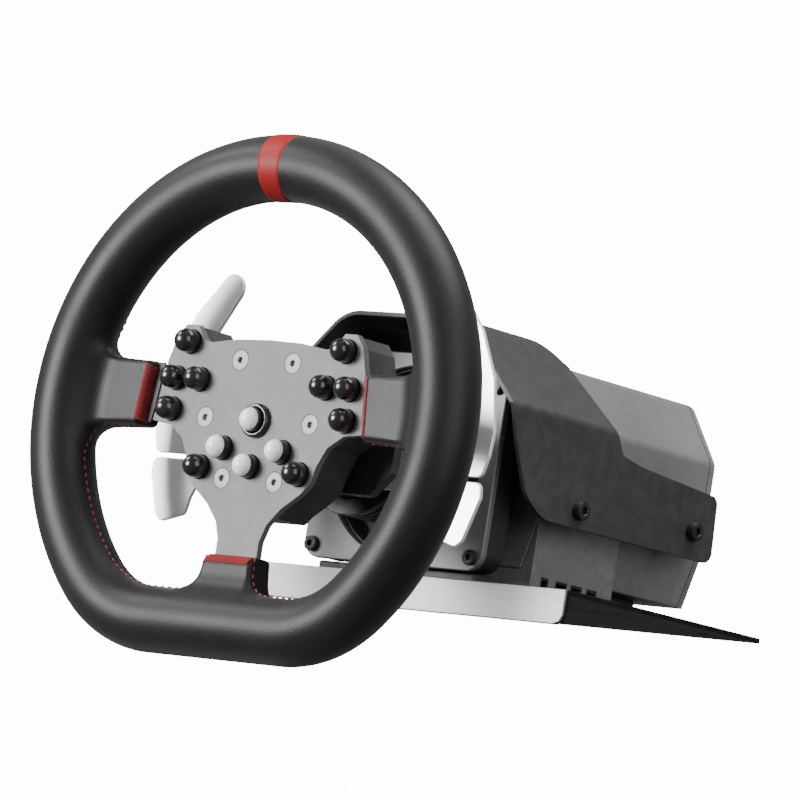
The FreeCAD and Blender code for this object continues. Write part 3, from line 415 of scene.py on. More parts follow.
# How often a finish's scratches change along x, y and z, where they don't run evenly
EVEN_STRETCH = (6.0, 6.0, 6.0)
STRETCHES = {
    "trim_silver": (0.6, 6.0, 60.0), "paddle_metal": (3.0, 3.0, 60.0),
    "shaft_steel": (20.0, 60.0, 20.0), "adapter_metal": (10.0, 60.0, 10.0),
    "copper": (12.0, 6.0, 12.0), "magnet_steel": (2.0, 60.0, 2.0),
}
SHADE_RANGE = (0.3, 0.7)
WORN_GAIN, WORN_LIFT = 1.8, 0.05
BUMP_STRENGTH = 0.6


def tinted(colour, gain, lift=0.0):
    """The colour made darker or lighter, with its alpha."""
    return tuple(min(1.0, c * gain + lift) for c in colour) + (1.0,)


def finish(name):
    """The material of that name, built the first time it is asked for."""
    label = "wheel_" + name
    known = bpy.data.materials.get(label)
    if known:
        return known
    colour, effect, scale, patch, height, metal, smooth, rough, change, wear, constants = FINISHES[name]
    colour = tuple(getattr(colours(), colour)) if isinstance(colour, str) else colour
    material = bpy.data.materials.new(label)
    tree = cleared(material)
    place = tree.nodes.new("ShaderNodeTexCoord").outputs["Object"]
    inputs = {"Vector": place, "Scale": scale, "Patch scale": patch}
    if effect is LINES:
        inputs["Stretch"] = STRETCHES.get(name, EVEN_STRETCH)
    pattern = put(tree, "ShaderNodeGroup", inputs, node_tree=effect())
    shade = ramp(tree, pattern.outputs["Shade"], *SHADE_RANGE)
    base = mixed(tree, shade, tinted(colour, 1.0 - change), tinted(colour, 1.0 + change))
    if wear > 0.0:
        mask = put(tree, "ShaderNodeGroup", {"Vector": place, "Amount": wear}, node_tree=edge_wear())
        base = mixed(tree, mask, base, tinted(colour, WORN_GAIN, WORN_LIFT))
    roughness = ramp(tree, pattern.outputs["Shade"], *SHADE_RANGE, smooth, rough)
    bump = put(
        tree, "ShaderNodeBump",
        {"Strength": BUMP_STRENGTH, "Distance": height, "Height": pattern.outputs["Height"]})
    sockets = {"Base Color": base, "Roughness": roughness, "Metallic": metal, "Normal": bump}
    shader = put(tree, "ShaderNodeBsdfPrincipled", {**sockets, **constants})
    put(tree, "ShaderNodeOutputMaterial", {"Surface": shader})
    return material


# Mesh helpers
def linked(name, data):
    """New object of the scene for this data."""
    made = bpy.data.objects.new(name, data)
    bpy.context.scene.collection.objects.link(made)
    return made


def new_piece(name, points, faces, materials, edges=()):
    """Mesh object at the origin from points in the frame's metres."""
    mesh = bpy.data.meshes.new(name)
    mesh.from_pydata([tuple(p) for p in points], list(edges), [tuple(f) for f in faces])
    for material in materials:
        mesh.materials.append(material)
    mesh.update()
    return linked(name, mesh)


def settle(piece, body, nodes=()):
    """Last step of every piece: the body it rides on, and the CAD nodes it stands for."""
    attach(piece, body)
    if nodes:
        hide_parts(*nodes)
    return piece


def baked(piece):
    """Turns what the modifiers show into the piece's plain mesh."""
    graph = bpy.context.evaluated_depsgraph_get()
    mesh = bpy.data.meshes.new_from_object(
        piece.evaluated_get(graph), preserve_all_data_layers=True, depsgraph=graph)
    piece.modifiers.clear()
    piece.data = mesh
    mesh.name = piece.name
    return piece


def modified(piece, label, kind, **settings):
    """Puts a modifier with these settings on the piece and bakes it."""
    made = piece.modifiers.new(label, kind)
    for key, value in settings.items():
        setattr(made, key, value)
    return baked(piece)


def smooth_shading(mesh, angle):
    """Shades a mesh smooth, but for edges sharper than this many degrees."""
    mesh.polygons.foreach_set("use_smooth", [True] * len(mesh.polygons))
    mesh.set_sharp_from_angle(angle=math.radians(angle))
    mesh.update()


def outward(mesh):
    """Makes every face of a closed mesh point outwards."""
    work = bmesh.new()
    work.from_mesh(mesh)
    bmesh.ops.remove_doubles(work, verts=work.verts, dist=1e-7)
    bmesh.ops.recalc_face_normals(work, faces=work.faces)
    work.to_mesh(mesh)
    work.free()


def whole_faces(node):
    """Merged copy of a CAD node's mesh, its flat faces in one piece again."""
    mesh = frame["nodes"][node].data.copy()
    work = bmesh.new()
    work.from_mesh(mesh)
    bmesh.ops.remove_doubles(work, verts=work.verts, dist=3e-6)
    bmesh.ops.dissolve_limit(work, angle_limit=math.radians(0.4), verts=work.verts, edges=work.edges)
    work.to_mesh(mesh)
    work.free()
    return mesh


def rounded_copy(node, slot, width, segments=2, angle=32.0):
    """A CAD node's shape with softened edges and its detailed finish, on the node's own body."""
    piece = linked(node + "_rounded", whole_faces(node))
    piece.data.materials.clear()
    piece.data.materials.append(finish(slot))
    modified(
        piece, "Rounding", "BEVEL", width=width, segments=segments, limit_method="ANGLE",
        angle_limit=math.radians(angle), use_clamp_overlap=False, miter_outer="MITER_ARC")
    smooth_shading(piece.data, 40.0)
    modified(piece, "Flat faces", "WEIGHTED_NORMAL", keep_sharp=True)
    return settle(piece, frame["nodes"][node]["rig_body"], [node])


def dress(slot, *nodes):
    """Gives CAD nodes that stay as they are their detailed finish."""
    for node in nodes:
        for place in frame["nodes"][node].material_slots:
            place.material = finish(slot)


def circle(count):
    """Angles of so many points round a circle."""
    return [2 * math.pi * i / count for i in range(count)]


def loop_faces(loops, count, closed=True):
    """Faces from each loop of count points to the next, and from the last to the first."""
    faces = []
    for k in range(loops if closed else loops - 1):
        a, b = k * count, (k + 1) % loops * count
        for i in range(count):
            j = (i + 1) % count
            faces.append((a + i, a + j, b + j, b + i))
    return faces


def turned(profile, count, centre, shades):
    """Points, faces and the faces' material numbers of a lathed piece about a line along y.
    The profile is made of (radius, y), and starts and ends on the line."""
    points, faces, marks, rings = [], [], [], []
    for radius, y in profile:
        if radius < 1e-6:
            rings.append([len(points)])
            points.append((centre[0], y, centre[1]))
            continue
        rings.append(list(range(len(points), len(points) + count)))
        for a in circle(count):
            points.append((centre[0] + radius * math.cos(a), y, centre[1] + radius * math.sin(a)))
    for a, b, shade in zip(rings, rings[1:], shades):
        for i in range(count):
            j = (i + 1) % count
            if len(a) == 1:
                faces.append((a[0], b[i], b[j]))
            elif len(b) == 1:
                faces.append((a[j], a[i], b[0]))
            else:
                faces.append((a[i], b[i], b[j], a[j]))
            marks.append(shade)
    return points, faces, marks


def socket_screw(name, radius, height, drive, shank_radius, shank, head_taper=0.0):
    """Mesh of a screw with a six-sided drive, facing +z. The underside of its head, or the top
    of a head that is sunk, is at z = 0. Sizes are in millimetres."""
    count = 24

    def ring(size, z, six=0.0):
        """Points of one ring, six-sided where six gives its width across flats."""
        found = []
        for a in circle(count):
            r = six / 2 / math.cos((a % (math.pi / 3)) - math.pi / 6) if six else size
            found.append((r * math.cos(a) * MM, r * math.sin(a) * MM, z * MM))
        return found

    under = height - head_taper if head_taper else 0.0
    neck = shank_radius if head_taper else radius
    edge, step, depth = (0.2, 0.05, 1.9) if head_taper else (0.5, 0.15, min(1.9, height * 0.7))
    rings = [
        ring(shank_radius, under - shank), ring(shank_radius, under), ring(neck, under),
        ring(radius, height - edge), ring(radius - 0.15, height - step), ring(radius - 0.5, height),
        ring(0, height, drive + 0.5), ring(0, height - 0.25, drive), ring(0, height - depth, drive),
    ]
    faces = loop_faces(len(rings), count, closed=False)
    last = (len(rings) - 1) * count
    faces.append(tuple(last + i for i in range(count)))
    faces.append(tuple(count - 1 - i for i in range(count)))
    mesh = bpy.data.meshes.new(name)
    mesh.from_pydata([p for r in rings for p in r], [], faces)
    outward(mesh)
    smooth_shading(mesh, 35.0)
    return mesh


# Geometry node trees
def node_tree(name, *inputs):
    """Empty geometry tree with these inputs after its geometry."""
    geometry = ("Geometry", "Geometry")
    return new_group(name, "GeometryNodeTree", [geometry, *inputs], [geometry])


def close_tree(tree, geometry, material, end):
    """Every tree ends in real geometry with its material."""
    real = put(tree, "GeometryNodeRealizeInstances", {0: geometry})
    coloured = put(tree, "GeometryNodeSetMaterial", {"Geometry": real, "Material": material})
    tree.links.new(coloured.outputs[0], end.inputs[0])
    return tree


@built_once("StitchRow")
def stitch_tree(name):
    """Separate stitches along a line, each a little different from the next."""
    tree, (geometry, pitch, length, thickness, thread, seed), end = node_tree(
        name, ("Pitch", "Float"), ("Length", "Float"), ("Thickness", "Float"), ("Thread", "Material"),
        ("Seed", "Int"))
    line = put(tree, "GeometryNodeMeshToCurve", {0: geometry})
    spaced = put(tree, "GeometryNodeResampleCurve", {"Curve": line, "Length": pitch}, mode="LENGTH")
    tangent = tree.nodes.new("GeometryNodeInputTangent")
    turn = put(tree, "FunctionNodeAlignRotationToVector", {"Vector": tangent}, axis="X")
    sway = put(
        tree, "FunctionNodeRandomValue", {0: (0.0, -0.06, -0.12), 1: (0.0, 0.06, 0.12), "Seed": seed},
        data_type="FLOAT_VECTOR")
    swayed = put(tree, "FunctionNodeRotateRotation", {0: turn, 1: sway}, rotation_space="LOCAL")
    ball = put(tree, "GeometryNodeMeshUVSphere", {"Segments": 8, "Rings": 6, "Radius": 0.5})
    soft = put(tree, "GeometryNodeSetShadeSmooth", {0: ball})
    size = put(tree, "ShaderNodeCombineXYZ", {0: length, 1: thickness, 2: thickness})
    many = put(
        tree, "GeometryNodeInstanceOnPoints",
        {"Points": spaced, "Instance": soft, "Rotation": swayed, "Scale": size})
    return close_tree(tree, many, thread, end)


@built_once("ThreadBand")
def thread_tree(name):
    """Round threads along the given short lines."""
    tree, (geometry, radius, thread), end = node_tree(name, ("Radius", "Float"), ("Thread", "Material"))
    line = put(tree, "GeometryNodeMeshToCurve", {0: geometry})
    outline = put(tree, "GeometryNodeCurvePrimitiveCircle", {"Resolution": 6, "Radius": radius})
    wound = put(
        tree, "GeometryNodeCurveToMesh", {"Curve": line, "Profile Curve": outline, "Fill Caps": True})
    soft = put(tree, "GeometryNodeSetShadeSmooth", {0: wound})
    return close_tree(tree, soft, thread, end)


@built_once("PlacedPieces")
def placing_tree(name):
    """The same small piece at every point, turned to the point's own facing direction."""
    tree, (geometry, piece, material, random_turn, seed), end = node_tree(
        name, ("Piece", "Object"), ("Finish", "Material"), ("Random turn", "Float"), ("Seed", "Int"))
    small = put(tree, "GeometryNodeObjectInfo", {"Object": piece}).outputs["Geometry"]
    facing = put(tree, "GeometryNodeInputNamedAttribute", {"Name": "facing"}, data_type="FLOAT_VECTOR")
    turn = put(tree, "FunctionNodeAlignRotationToVector", {"Vector": facing}, axis="Z")
    spin = put(tree, "FunctionNodeRandomValue", {2: 0.0, 3: random_turn, "Seed": seed})
    about = put(tree, "ShaderNodeCombineXYZ", {2: spin.outputs[1]})
    spun = put(tree, "FunctionNodeRotateRotation", {0: turn, 1: about}, rotation_space="LOCAL")
    many = put(
        tree, "GeometryNodeInstanceOnPoints", {"Points": geometry, "Instance": small, "Rotation": spun})
    return close_tree(tree, many, material, end)


def grow(piece, tree, values):
    """Runs a tree on the piece with these named inputs and keeps the result as its plain mesh."""
    modifier = piece.modifiers.new(tree.name, "NODES")
    modifier.node_group = tree
    for item in tree.interface.items_tree:
        if item.in_out == "INPUT" and item.name in values:
            modifier[item.identifier] = values[item.name]
    return baked(piece)


def placed(name, small_mesh, spots, body, slot, nodes):
    """Copies of a small mesh at (point, facing) spots, as one piece, each turned a little."""
    small = linked(name + "_one", small_mesh)
    piece = new_piece(name, [p for p, _ in spots], [], [])
    facing = piece.data.attributes.new("facing", "FLOAT_VECTOR", "POINT")
    facing.data.foreach_set("vector", [c for _, d in spots for c in d])
    grow(piece, placing_tree(), {
        "Piece": small, "Finish": finish(slot), "Random turn": 1.0, "Seed": sizes().scatter_seed})
    bpy.data.objects.remove(small)
    return settle(piece, body, nodes)


# Leather skin
def rim_line_distance(x, z):
    """Distance in the rim's plane to the D-shaped centreline."""
    side = np.abs(x)
    above = np.arctan2(z - RIM_CENTRE_Z, side) >= JOIN_ANGLE
    top = np.abs(np.hypot(side, z - RIM_CENTRE_Z) - RIM_RADIUS)
    corner = np.abs(np.hypot(side - CORNER_X, z - CORNER_Z) - CORNER_RADIUS)
    flat = np.abs(z - FLAT_Z)
    return np.where(above, top, np.where(side > CORNER_X, corner, flat))


def soft_min(a, b, width):
    """Smaller of two distances, blended where they differ by less than the width."""
    blend = np.maximum(width - np.abs(a - b), 0.0) / width
    return np.minimum(a, b) - blend * blend * width * 0.25


def spoke_distance(along, y, across, root, tip, half_root, half_tip, slope_size, slant=0.0):
    """Signed distance to one spoke: a rounded bar that widens to its tip and slopes down at its root."""
    root = root - slant * across
    share = np.clip((along - root) / (tip - root), 0.0, 1.0)
    half = half_root + (half_tip - half_root) * share * share
    a = np.abs(along - (root + tip) / 2) - ((tip - root) / 2 - SPOKE_ROUNDING)
    b = np.abs(y - SPOKE_Y) - (SPOKE_HALF_DEPTH - SPOKE_ROUNDING)
    c = np.abs(across) - (half - SPOKE_ROUNDING)
    outside = np.sqrt(np.maximum(a, 0) ** 2 + np.maximum(b, 0) ** 2 + np.maximum(c, 0) ** 2)
    bar = outside + np.minimum(np.maximum(np.maximum(a, b), c), 0.0) - SPOKE_ROUNDING
    run, drop = slope_size
    slope = (-(along - root) * drop - (y - SPOKE_FRONT_Y - drop) * run) / math.hypot(run, drop)
    return -soft_min(-bar, -slope, 2.5)


def leather_distance(points):
    """Signed distance to the leather of the rim and its three spokes, in millimetres."""
    x, y, z = points[..., 0], points[..., 1], points[..., 2]
    rim = np.hypot(rim_line_distance(x, z), y - GRIP_Y) - GRIP_RADIUS
    sides = spoke_distance(
        np.abs(x), y, z - SIDE_SPOKE_Z, SIDE_SPOKE_ROOT, RIM_RADIUS, 16.75, 20.75, (1.5, 5.0),
        SIDE_SPOKE_SLANT)
    lower = spoke_distance(-z, y, x, LOWER_SPOKE_ROOT, -FLAT_Z, 16.5, 26.0, (3.5, 3.0))
    fillet = sizes().leather_fillet
    return soft_min(soft_min(rim, sides, fillet), lower, fillet)


def leather_slope(points):
    """Direction and rate in which the distance grows."""
    reach = 0.05
    found = np.empty_like(points)
    for axis in range(3):
        step = np.zeros(3)
        step[axis] = reach
        found[..., axis] = (leather_distance(points + step) - leather_distance(points - step)) / (2 * reach)
    return found


def onto_leather(points, rounds=5):
    """Moves points to the leather's surface and returns them with the surface's outward directions."""
    points = np.array(points, float)
    for _ in range(rounds):
        slope = leather_slope(points)
        size = np.maximum((slope ** 2).sum(-1, keepdims=True), 0.05)
        points = points - slope * leather_distance(points)[..., None] / size
    slope = leather_slope(points)
    return points, slope / np.maximum(np.linalg.norm(slope, axis=-1, keepdims=True), 1e-9)


def surface_net(distance, low, high, step):
    """Even quad mesh of a distance field's zero surface."""
    counts = [int(math.ceil((high[i] - low[i]) / step)) + 1 for i in range(3)]
    axes = [low[i] + step * np.arange(counts[i]) for i in range(3)]
    grid = np.stack(np.meshgrid(*axes, indexing="ij"), -1)
    inside = distance(grid) < 0.0
    total = np.zeros([n - 1 for n in counts], int)
    for i, j, k in np.ndindex(2, 2, 2):
        total += inside[i:counts[0] - 1 + i, j:counts[1] - 1 + j, k:counts[2] - 1 + k]
    active = (total > 0) & (total < 8)
    number = np.full(active.shape, -1)
    number[active] = np.arange(active.sum())
    cells = np.argwhere(active)
    points = np.array(low) + (cells + 0.5) * step
    faces = []
    for axis in range(3):
        u, v = (axis + 1) % 3, (axis + 2) % 3
        first = [slice(1, -1)] * 3
        second = [slice(1, -1)] * 3
        first[axis], second[axis] = slice(0, -1), slice(1, None)
        a, b = inside[tuple(first)], inside[tuple(second)]
        crossing = np.argwhere(a != b)
        leaving = a[tuple(crossing.T)]
        base = crossing.copy()
        base[:, u] += 1
        base[:, v] += 1
        around = []
        for du, dv in ((-1, -1), (0, -1), (0, 0), (-1, 0)):
            cell = base.copy()
            cell[:, u] += du
            cell[:, v] += dv
            around.append(number[tuple(cell.T)])
        quads = np.stack(around, 1)
        quads[~leaving] = quads[~leaving][:, ::-1]
        faces.append(quads)
    return points, np.concatenate(faces)


def relaxed(points, faces, rounds):
    """Evens out the net: each point goes towards its neighbours' middle, then back to the leather."""
    ends = np.concatenate([faces[:, [i, (i + 1) % 4]] for i in range(4)])
    counts = np.bincount(ends[:, 0], minlength=len(points))[:, None]
    for _ in range(rounds):
        sums = [np.bincount(ends[:, 0], points[ends[:, 1], axis], len(points)) for axis in range(3)]
        points = points + 0.7 * (np.stack(sums, 1) / counts - points)
        points = onto_leather(points, 1)[0]
    return points


def leather_skin():
    """The wrap over rim and spokes in one piece, running smoothly from one into the other."""
    points, faces = surface_net(leather_distance, *LEATHER_BOX, sizes().leather_step)
    points = relaxed(onto_leather(points)[0], faces, 6)
    points, facing = onto_leather(points)
    piece = new_piece("leather_skin", rows(points), faces.tolist(), [finish("grip_leather")])
    piece.data.polygons.foreach_set("use_smooth", [True] * len(piece.data.polygons))
    piece.data.normals_split_custom_set_from_vertices([tuple(n) for n in facing])
    return settle(
        piece, "wheel",
        ["rim_grip", "spoke_cover_right", "spoke_cover_left", "spoke_cover_bottom"])


def hoop(name, points, loops, slot, node):
    """Closed ring of loops of points, on the wheel in place of a CAD node."""
    faces = loop_faces(loops, len(points) // loops)
    piece = new_piece(name, rows(points), faces, [finish(slot)])
    outward(piece.data)
    smooth_shading(piece.data, 50.0)
    return settle(piece, "wheel", [node])


def marker_band():
    """Red band round the top of the grip, its edges turned down into the wrap."""
    half = MARKER_HALF_ANGLE
    edge = 0.5 / RIM_RADIUS
    section = [(-half, 15.5), (-half, 17.0), (-half + edge, 17.28)]
    section += [(half * k / 3, 17.35) for k in range(-2, 3)]
    section += [(half - edge, 17.28), (half, 17.0), (half, 15.5)]
    points = []
    for offset, radius in section:
        for t in circle(72):
            reach = RIM_RADIUS + radius * math.cos(t)
            points.append((
                reach * math.sin(offset), GRIP_Y + radius * math.sin(t),
                RIM_CENTRE_Z + reach * math.cos(offset)))
    return hoop("marker_band", points, len(section), "marker_leather", "centre_marker")


def evened(path, step):
    """A line of points resampled to even steps and eased at its corners."""
    path = np.asarray(path, float)
    for _ in range(2):
        gaps = np.r_[0.0, np.cumsum(np.linalg.norm(np.diff(path, axis=0), axis=1))]
        count = max(int(gaps[-1] / step), 2)
        even = np.linspace(0, gaps[-1], count + 1)
        path = np.stack([np.interp(even, gaps, path[:, i]) for i in range(3)], 1)
        for _ in range(6):
            path[1:-1] = (path[:-2] + 2 * path[1:-1] + path[2:]) / 4
    return path


def inner_rim(start, end, count, back):
    """Points on the rim's inner side between two angles about the rim's centre, and so many
    degrees behind the middle of the grip."""
    reach = GRIP_RADIUS * math.cos(math.radians(back))
    y = GRIP_Y + GRIP_RADIUS * math.sin(math.radians(back))
    found = []
    for angle in np.linspace(math.radians(start), math.radians(end), count):
        c, s = math.cos(angle), math.sin(angle)
        low, high = 60.0, 140.0
        for _ in range(40):
            middle = (low + high) / 2
            value = rim_line_distance(np.array([middle * c]), np.array([RIM_CENTRE_Z + middle * s]))[0]
            if value > reach:
                low = middle
            else:
                high = middle
        found.append((low * c, y, RIM_CENTRE_Z + low * s))
    return found


def seam_lines():
    """The three sewn lines, one round each opening of the wheel."""
    upper = [(75.0, 1.5, 26.5), (92.0, 1.0, 27.5), (99.0, 2.0, 30.5), (103.5, 5.0, 37.0)]
    upper += inner_rim(24.5, 155.5, 60, 58.0) + [(-x, y, z) for x, y, z in reversed(upper)]
    lower = [(77.5, 1.5, -7.0), (92.0, 1.0, -8.0), (99.5, -1.0, -11.0), (104.0, -4.5, -17.0)]
    lower += inner_rim(-13.0, -63.5, 40, -9.0)
    lower += [(27.5, -6.5, -87.5), (21.5, -5.0, -83.0), (18.0, -4.0, -76.0), (16.5, -3.5, -70.5)]
    return [upper, lower, [(-x, y, z) for x, y, z in lower]]


def sewn(name, lines, lift, tree, values):
    """What a tree makes of lines laid on the leather and lifted off it a little."""
    points, edges = [], []
    for line in lines:
        laid, facing = onto_leather(line, rounds=8)
        edges += [(len(points) + i, len(points) + i + 1) for i in range(len(laid) - 1)]
        points += rows(laid + facing * lift).tolist()
    piece = new_piece(name, points, [], [], edges)
    grow(piece, tree, {"Thread": finish("thread_red"), **values})
    return settle(piece, "wheel")


def seam_stitches():
    """Stitches along the three sewn lines."""
    s = sizes()
    values = {
        "Pitch": s.stitch_pitch, "Length": s.stitch_length, "Thickness": s.stitch_thickness,
        "Seed": s.scatter_seed}
    return sewn(
        "seam_stitches", [evened(line, 1.0) for line in seam_lines()], 0.12, stitch_tree(), values)


def spoke_end_threads():
    """Close slanted threads that bind the leather at the hub end of each spoke."""
    course = ((3.6, -7.3, 1.6), (1.6, -7.0, 1.1), (0.2, -5.0, 0.6), (0.0, -3.0, 0.2), (0.0, -1.0, 0.0))
    lines = []
    for side in (-1.0, 1.0):
        for z in np.arange(-5.0, 23.0, THREAD_SPACING):
            edge = SIDE_SPOKE_ROOT - SIDE_SPOKE_SLANT * (z - SIDE_SPOKE_Z)
            lines.append([(side * (edge + out), y, z + rise) for out, y, rise in course])
    for x in np.arange(-14.2, 13.4, THREAD_SPACING):
        lines.append([(x + 1.6 * t, -7.6 + 3.6 * t, -73.4 + 3.8 * t) for t in np.linspace(0, 1, 5)])
    return sewn("spoke_end_threads", lines, 0.2, thread_tree(), {"Radius": sizes().band_thread})


# Hub
def ball_button(name, centre, pale):
    """Turned push button: a domed cap on a round body, its flange and plunger behind the plate."""
    steps = [math.radians(a) for a in (0, 8, 16, 26, 36, 46, 56, 66, 76, 90)]
    profile = [(CAP_RADIUS * math.sin(a), DOME_Y - CAP_RADIUS * math.cos(a)) for a in steps]
    profile += [
        (CAP_RADIUS, -3.2), (CAP_RADIUS, 4.2), (6.5, 4.2), (6.7, 4.35), (6.7, 5.25), (6.55, 5.4),
        (1.6, 5.4), (1.6, 8.3), (1.4, 8.5), (0.0, 8.5)]
    shades = [1 if pale and k < 8 else 0 for k in range(len(profile) - 1)]
    points, faces, marks = turned(profile, 40, centre, shades)
    materials = [finish("gloss_black")] + ([finish("gloss_white")] if pale else [])
    piece = new_piece(name + "_cap", rows(points), faces, materials)
    piece.data.polygons.foreach_set("material_index", marks)
    outward(piece.data)
    smooth_shading(piece.data, 40.0)
    return settle(piece, name, [name])


def centre_ring():
    """Dark turned ring round the centre button."""
    profile = [
        (6.3, 0.0), (6.3, -2.2), (6.55, -2.7), (7.1, -3.0), (7.7, -3.0), (8.3, -2.75), (8.7, -2.2),
        (8.8, -1.4), (8.8, 0.0)]
    points = [(radius * math.cos(a), y, radius * math.sin(a)) for radius, y in profile for a in circle(56)]
    return hoop("centre_ring", points, len(profile), "gloss_black", "centre_bezel")


def arm_shade_strips():
    """Black strips on the plate's side arms between the metal that shows and the leather; their black is
    partly the arms' own dark edge and partly painted shade of the gap under the spokes' ends.
    """
    outline = [(66.4, 26.6), (73.0, 26.0), (76.5, 8.0), (76.5, -6.0), (70.4, -4.6), (69.4, 2.0)]
    count = len(outline)
    for side, word in ((-1.0, "left"), (1.0, "right")):
        points = [(side * x, y, z) for y in (-0.9, -0.02) for x, z in outline]
        faces = [tuple(range(count)), tuple(range(2 * count - 1, count - 1, -1))]
        faces += loop_faces(2, count, closed=False)
        piece = new_piece("arm_guard_" + word, rows(points), faces, [finish("black_plastic")])
        outward(piece.data)
        modified(piece, "Rounding", "BEVEL", width=0.0003, segments=2)
        smooth_shading(piece.data, 40.0)
        settle(piece, "wheel")


def sunk_bolts():
    """Six countersunk bolts on the hub's bolt circle."""
    mesh = socket_screw("sunk_bolt", 5.15, 0.0, 3.0, 2.5, 36.2, head_taper=2.7)
    spots = []
    for i in range(6):
        a = math.radians(60.0 * i)
        centre = row(HUB_BOLTS_RADIUS * math.cos(a), 0.0, HUB_BOLTS_RADIUS * math.sin(a))
        spots.append((centre, FORWARD))
    return placed("sunk_bolts", mesh, spots, "wheel", "bolt_steel", ["hub_bolts"])


# Operators
class PieceOperator:
    """What all the operators share"""
    bl_options = {"REGISTER", "UNDO"}


class WHEEL_OT_stage(PieceOperator, bpy.types.Operator):
    """Make the floor, the studio lights, the white surroundings and the camera"""
    bl_idname = "racing_wheel.stage"
    bl_label = "Stage"

    def execute(self, context):
        make_stage(context.scene.wheel_studio)
        return {"FINISHED"}


class WHEEL_OT_leather(PieceOperator, bpy.types.Operator):
    """Make the leather wrap of the rim and spokes, and its red band"""
    bl_idname = "racing_wheel.leather"
    bl_label = "Leather and marker"

    def execute(self, context):
        leather_skin()
        marker_band()
        return {"FINISHED"}


class WHEEL_OT_stitches(PieceOperator, bpy.types.Operator):
    """Sew the seams round the openings and bind the spokes' ends"""
    bl_idname = "racing_wheel.stitches"
    bl_label = "Stitches"

    def execute(self, context):
        seam_stitches()
        spoke_end_threads()
        return {"FINISHED"}


class WHEEL_OT_plate(PieceOperator, bpy.types.Operator):
    """Make the metal plate, its six sunk bolts and the centre ring"""
    bl_idname = "racing_wheel.plate"
    bl_label = "Plate and hub bolts"

    def execute(self, context):
        rounded_copy("wheel_plate", "plate_metal", sizes().edge_round)
        # Black strips that stand partly for the shade in the gap under the side spokes' ends (painted
        # shade)
        arm_shade_strips()
        sunk_bolts()
        centre_ring()
        return {"FINISHED"}


class WHEEL_OT_buttons(PieceOperator, bpy.types.Operator):
    """Make the fourteen push buttons"""
    bl_idname = "racing_wheel.buttons"
    bl_label = "Buttons"

    def execute(self, context):
        for name, centre in BUTTONS.items():
            ball_button(name, centre, name in PALE_BUTTONS)
        return {"FINISHED"}


class WHEEL_OT_paddles(PieceOperator, bpy.types.Operator):
    """Make the two shift paddles and the two lower paddles"""
    bl_idname = "racing_wheel.paddles"
    bl_label = "Paddles"

    def execute(self, context):
        for kind in ("shift_paddle", "lower_paddle"):
            for side in ("left", "right"):
                rounded_copy(kind + "_" + side, "paddle_metal", width=0.0006, segments=3)
        return {"FINISHED"}


class WHEEL_OT_hub_back(PieceOperator, bpy.types.Operator):
    """Finish the hub housing, the adapter, the paddle carrier and the release collar"""
    bl_idname = "racing_wheel.hub_back"
    bl_label = "Hub back and quick release"

    def execute(self, context):
        dress("black_plastic", "hub_housing", "paddle_switches", "button_switches")
        rounded_copy("hub_adapter", "adapter_metal", width=0.0006)
        rounded_copy("paddle_carrier", "black_plastic", width=0.0005)
        rounded_copy("release_collar", "adapter_metal", width=0.0005)
        dress("shaft_steel", "paddle_pins", "main_shaft", "encoder_disc", "inner_races")
        dress("board_green", "button_board")
        dress("magnet_steel", "rotor")
        return {"FINISHED"}


class WHEEL_OT_hood(PieceOperator, bpy.types.Operator):
    """Make the folded hood with its spacers and bolts"""
    bl_idname = "racing_wheel.hood"
    bl_label = "Hood"

    def execute(self, context):
        rounded_copy("hood", "hood_grey", sizes().edge_round, angle=20.0)
        rounded_copy("hood_spacers", "black_steel", width=0.0004)
        mesh = socket_screw("hood_bolt", 5.0, 4.6, 4.0, 2.4, 12.0)
        spots = [
            (row(side * HOOD_BOLT_X, y, z), (side, 0.0, 0.0))
            for side in (-1.0, 1.0) for y, z in HOOD_BOLTS_YZ]
        placed("hood_bolt_heads", mesh, spots, "base", "black_steel", ["hood_bolts"])
        return {"FINISHED"}


class WHEEL_OT_front(PieceOperator, bpy.types.Operator):
    """Make the base's face plate, its bolts, the shroud and the bearing block"""
    bl_idname = "racing_wheel.front"
    bl_label = "Base front"

    def execute(self, context):
        rounded_copy("face_plate", "face_grey", width=0.0007, segments=3)
        rounded_copy("front_shroud", "black_plastic", width=0.0007)
        rounded_copy("bearing_block", "block_grey", sizes().casting_round)
        mesh = socket_screw("face_bolt", 4.0, 3.2, 3.0, 2.0, 15.0)
        spots = [(row(x, FACE_Y, z), FORWARD) for x in FACE_BOLTS_X for z in FACE_BOLTS_Z]
        placed("face_bolt_heads", mesh, spots, "base", "black_steel", ["face_bolts"])
        dress("shaft_steel", "outer_races", "bearing_balls")
        return {"FINISHED"}


class WHEEL_OT_motor(PieceOperator, bpy.types.Operator):
    """Make the motor housing, its end cap and screws, and finish what is inside"""
    bl_idname = "racing_wheel.motor"
    bl_label = "Motor"

    def execute(self, context):
        rounded_copy("motor_housing", "housing_grey", sizes().casting_round, segments=3)
        dress("housing_grey", "end_cap")
        mesh = socket_screw("end_screw", 3.6, 3.3, 2.5, 1.7, 16.0)
        spots = [(row(x, END_CAP_Y, z), BACK) for x in END_SCREWS_X for z in END_SCREWS_Z]
        placed("end_screw_heads", mesh, spots, "base", "black_steel", ["end_screws"])
        dress("magnet_steel", "stator")
        dress("copper", "stator_coils")
        dress("board_green", "encoder_board")
        return {"FINISHED"}


class WHEEL_OT_base(PieceOperator, bpy.types.Operator):
    """Make the base plate, its silver strip, the lower housing with its ports, and the feet"""
    bl_idname = "racing_wheel.base"
    bl_label = "Base plate and ports"

    def execute(self, context):
        rounded_copy("base_plate", "plate_black", sizes().edge_round)
        rounded_copy("front_trim", "trim_silver", sizes().edge_round)
        rounded_copy("lower_housing", "housing_grey", width=0.0006)
        rounded_copy("port_sockets", "black_plastic", width=0.0003)
        rounded_copy("rear_feet", "block_grey", width=0.0008)
        dress("black_steel", "plate_screws")
        dress("board_green", "control_board")
        return {"FINISHED"}


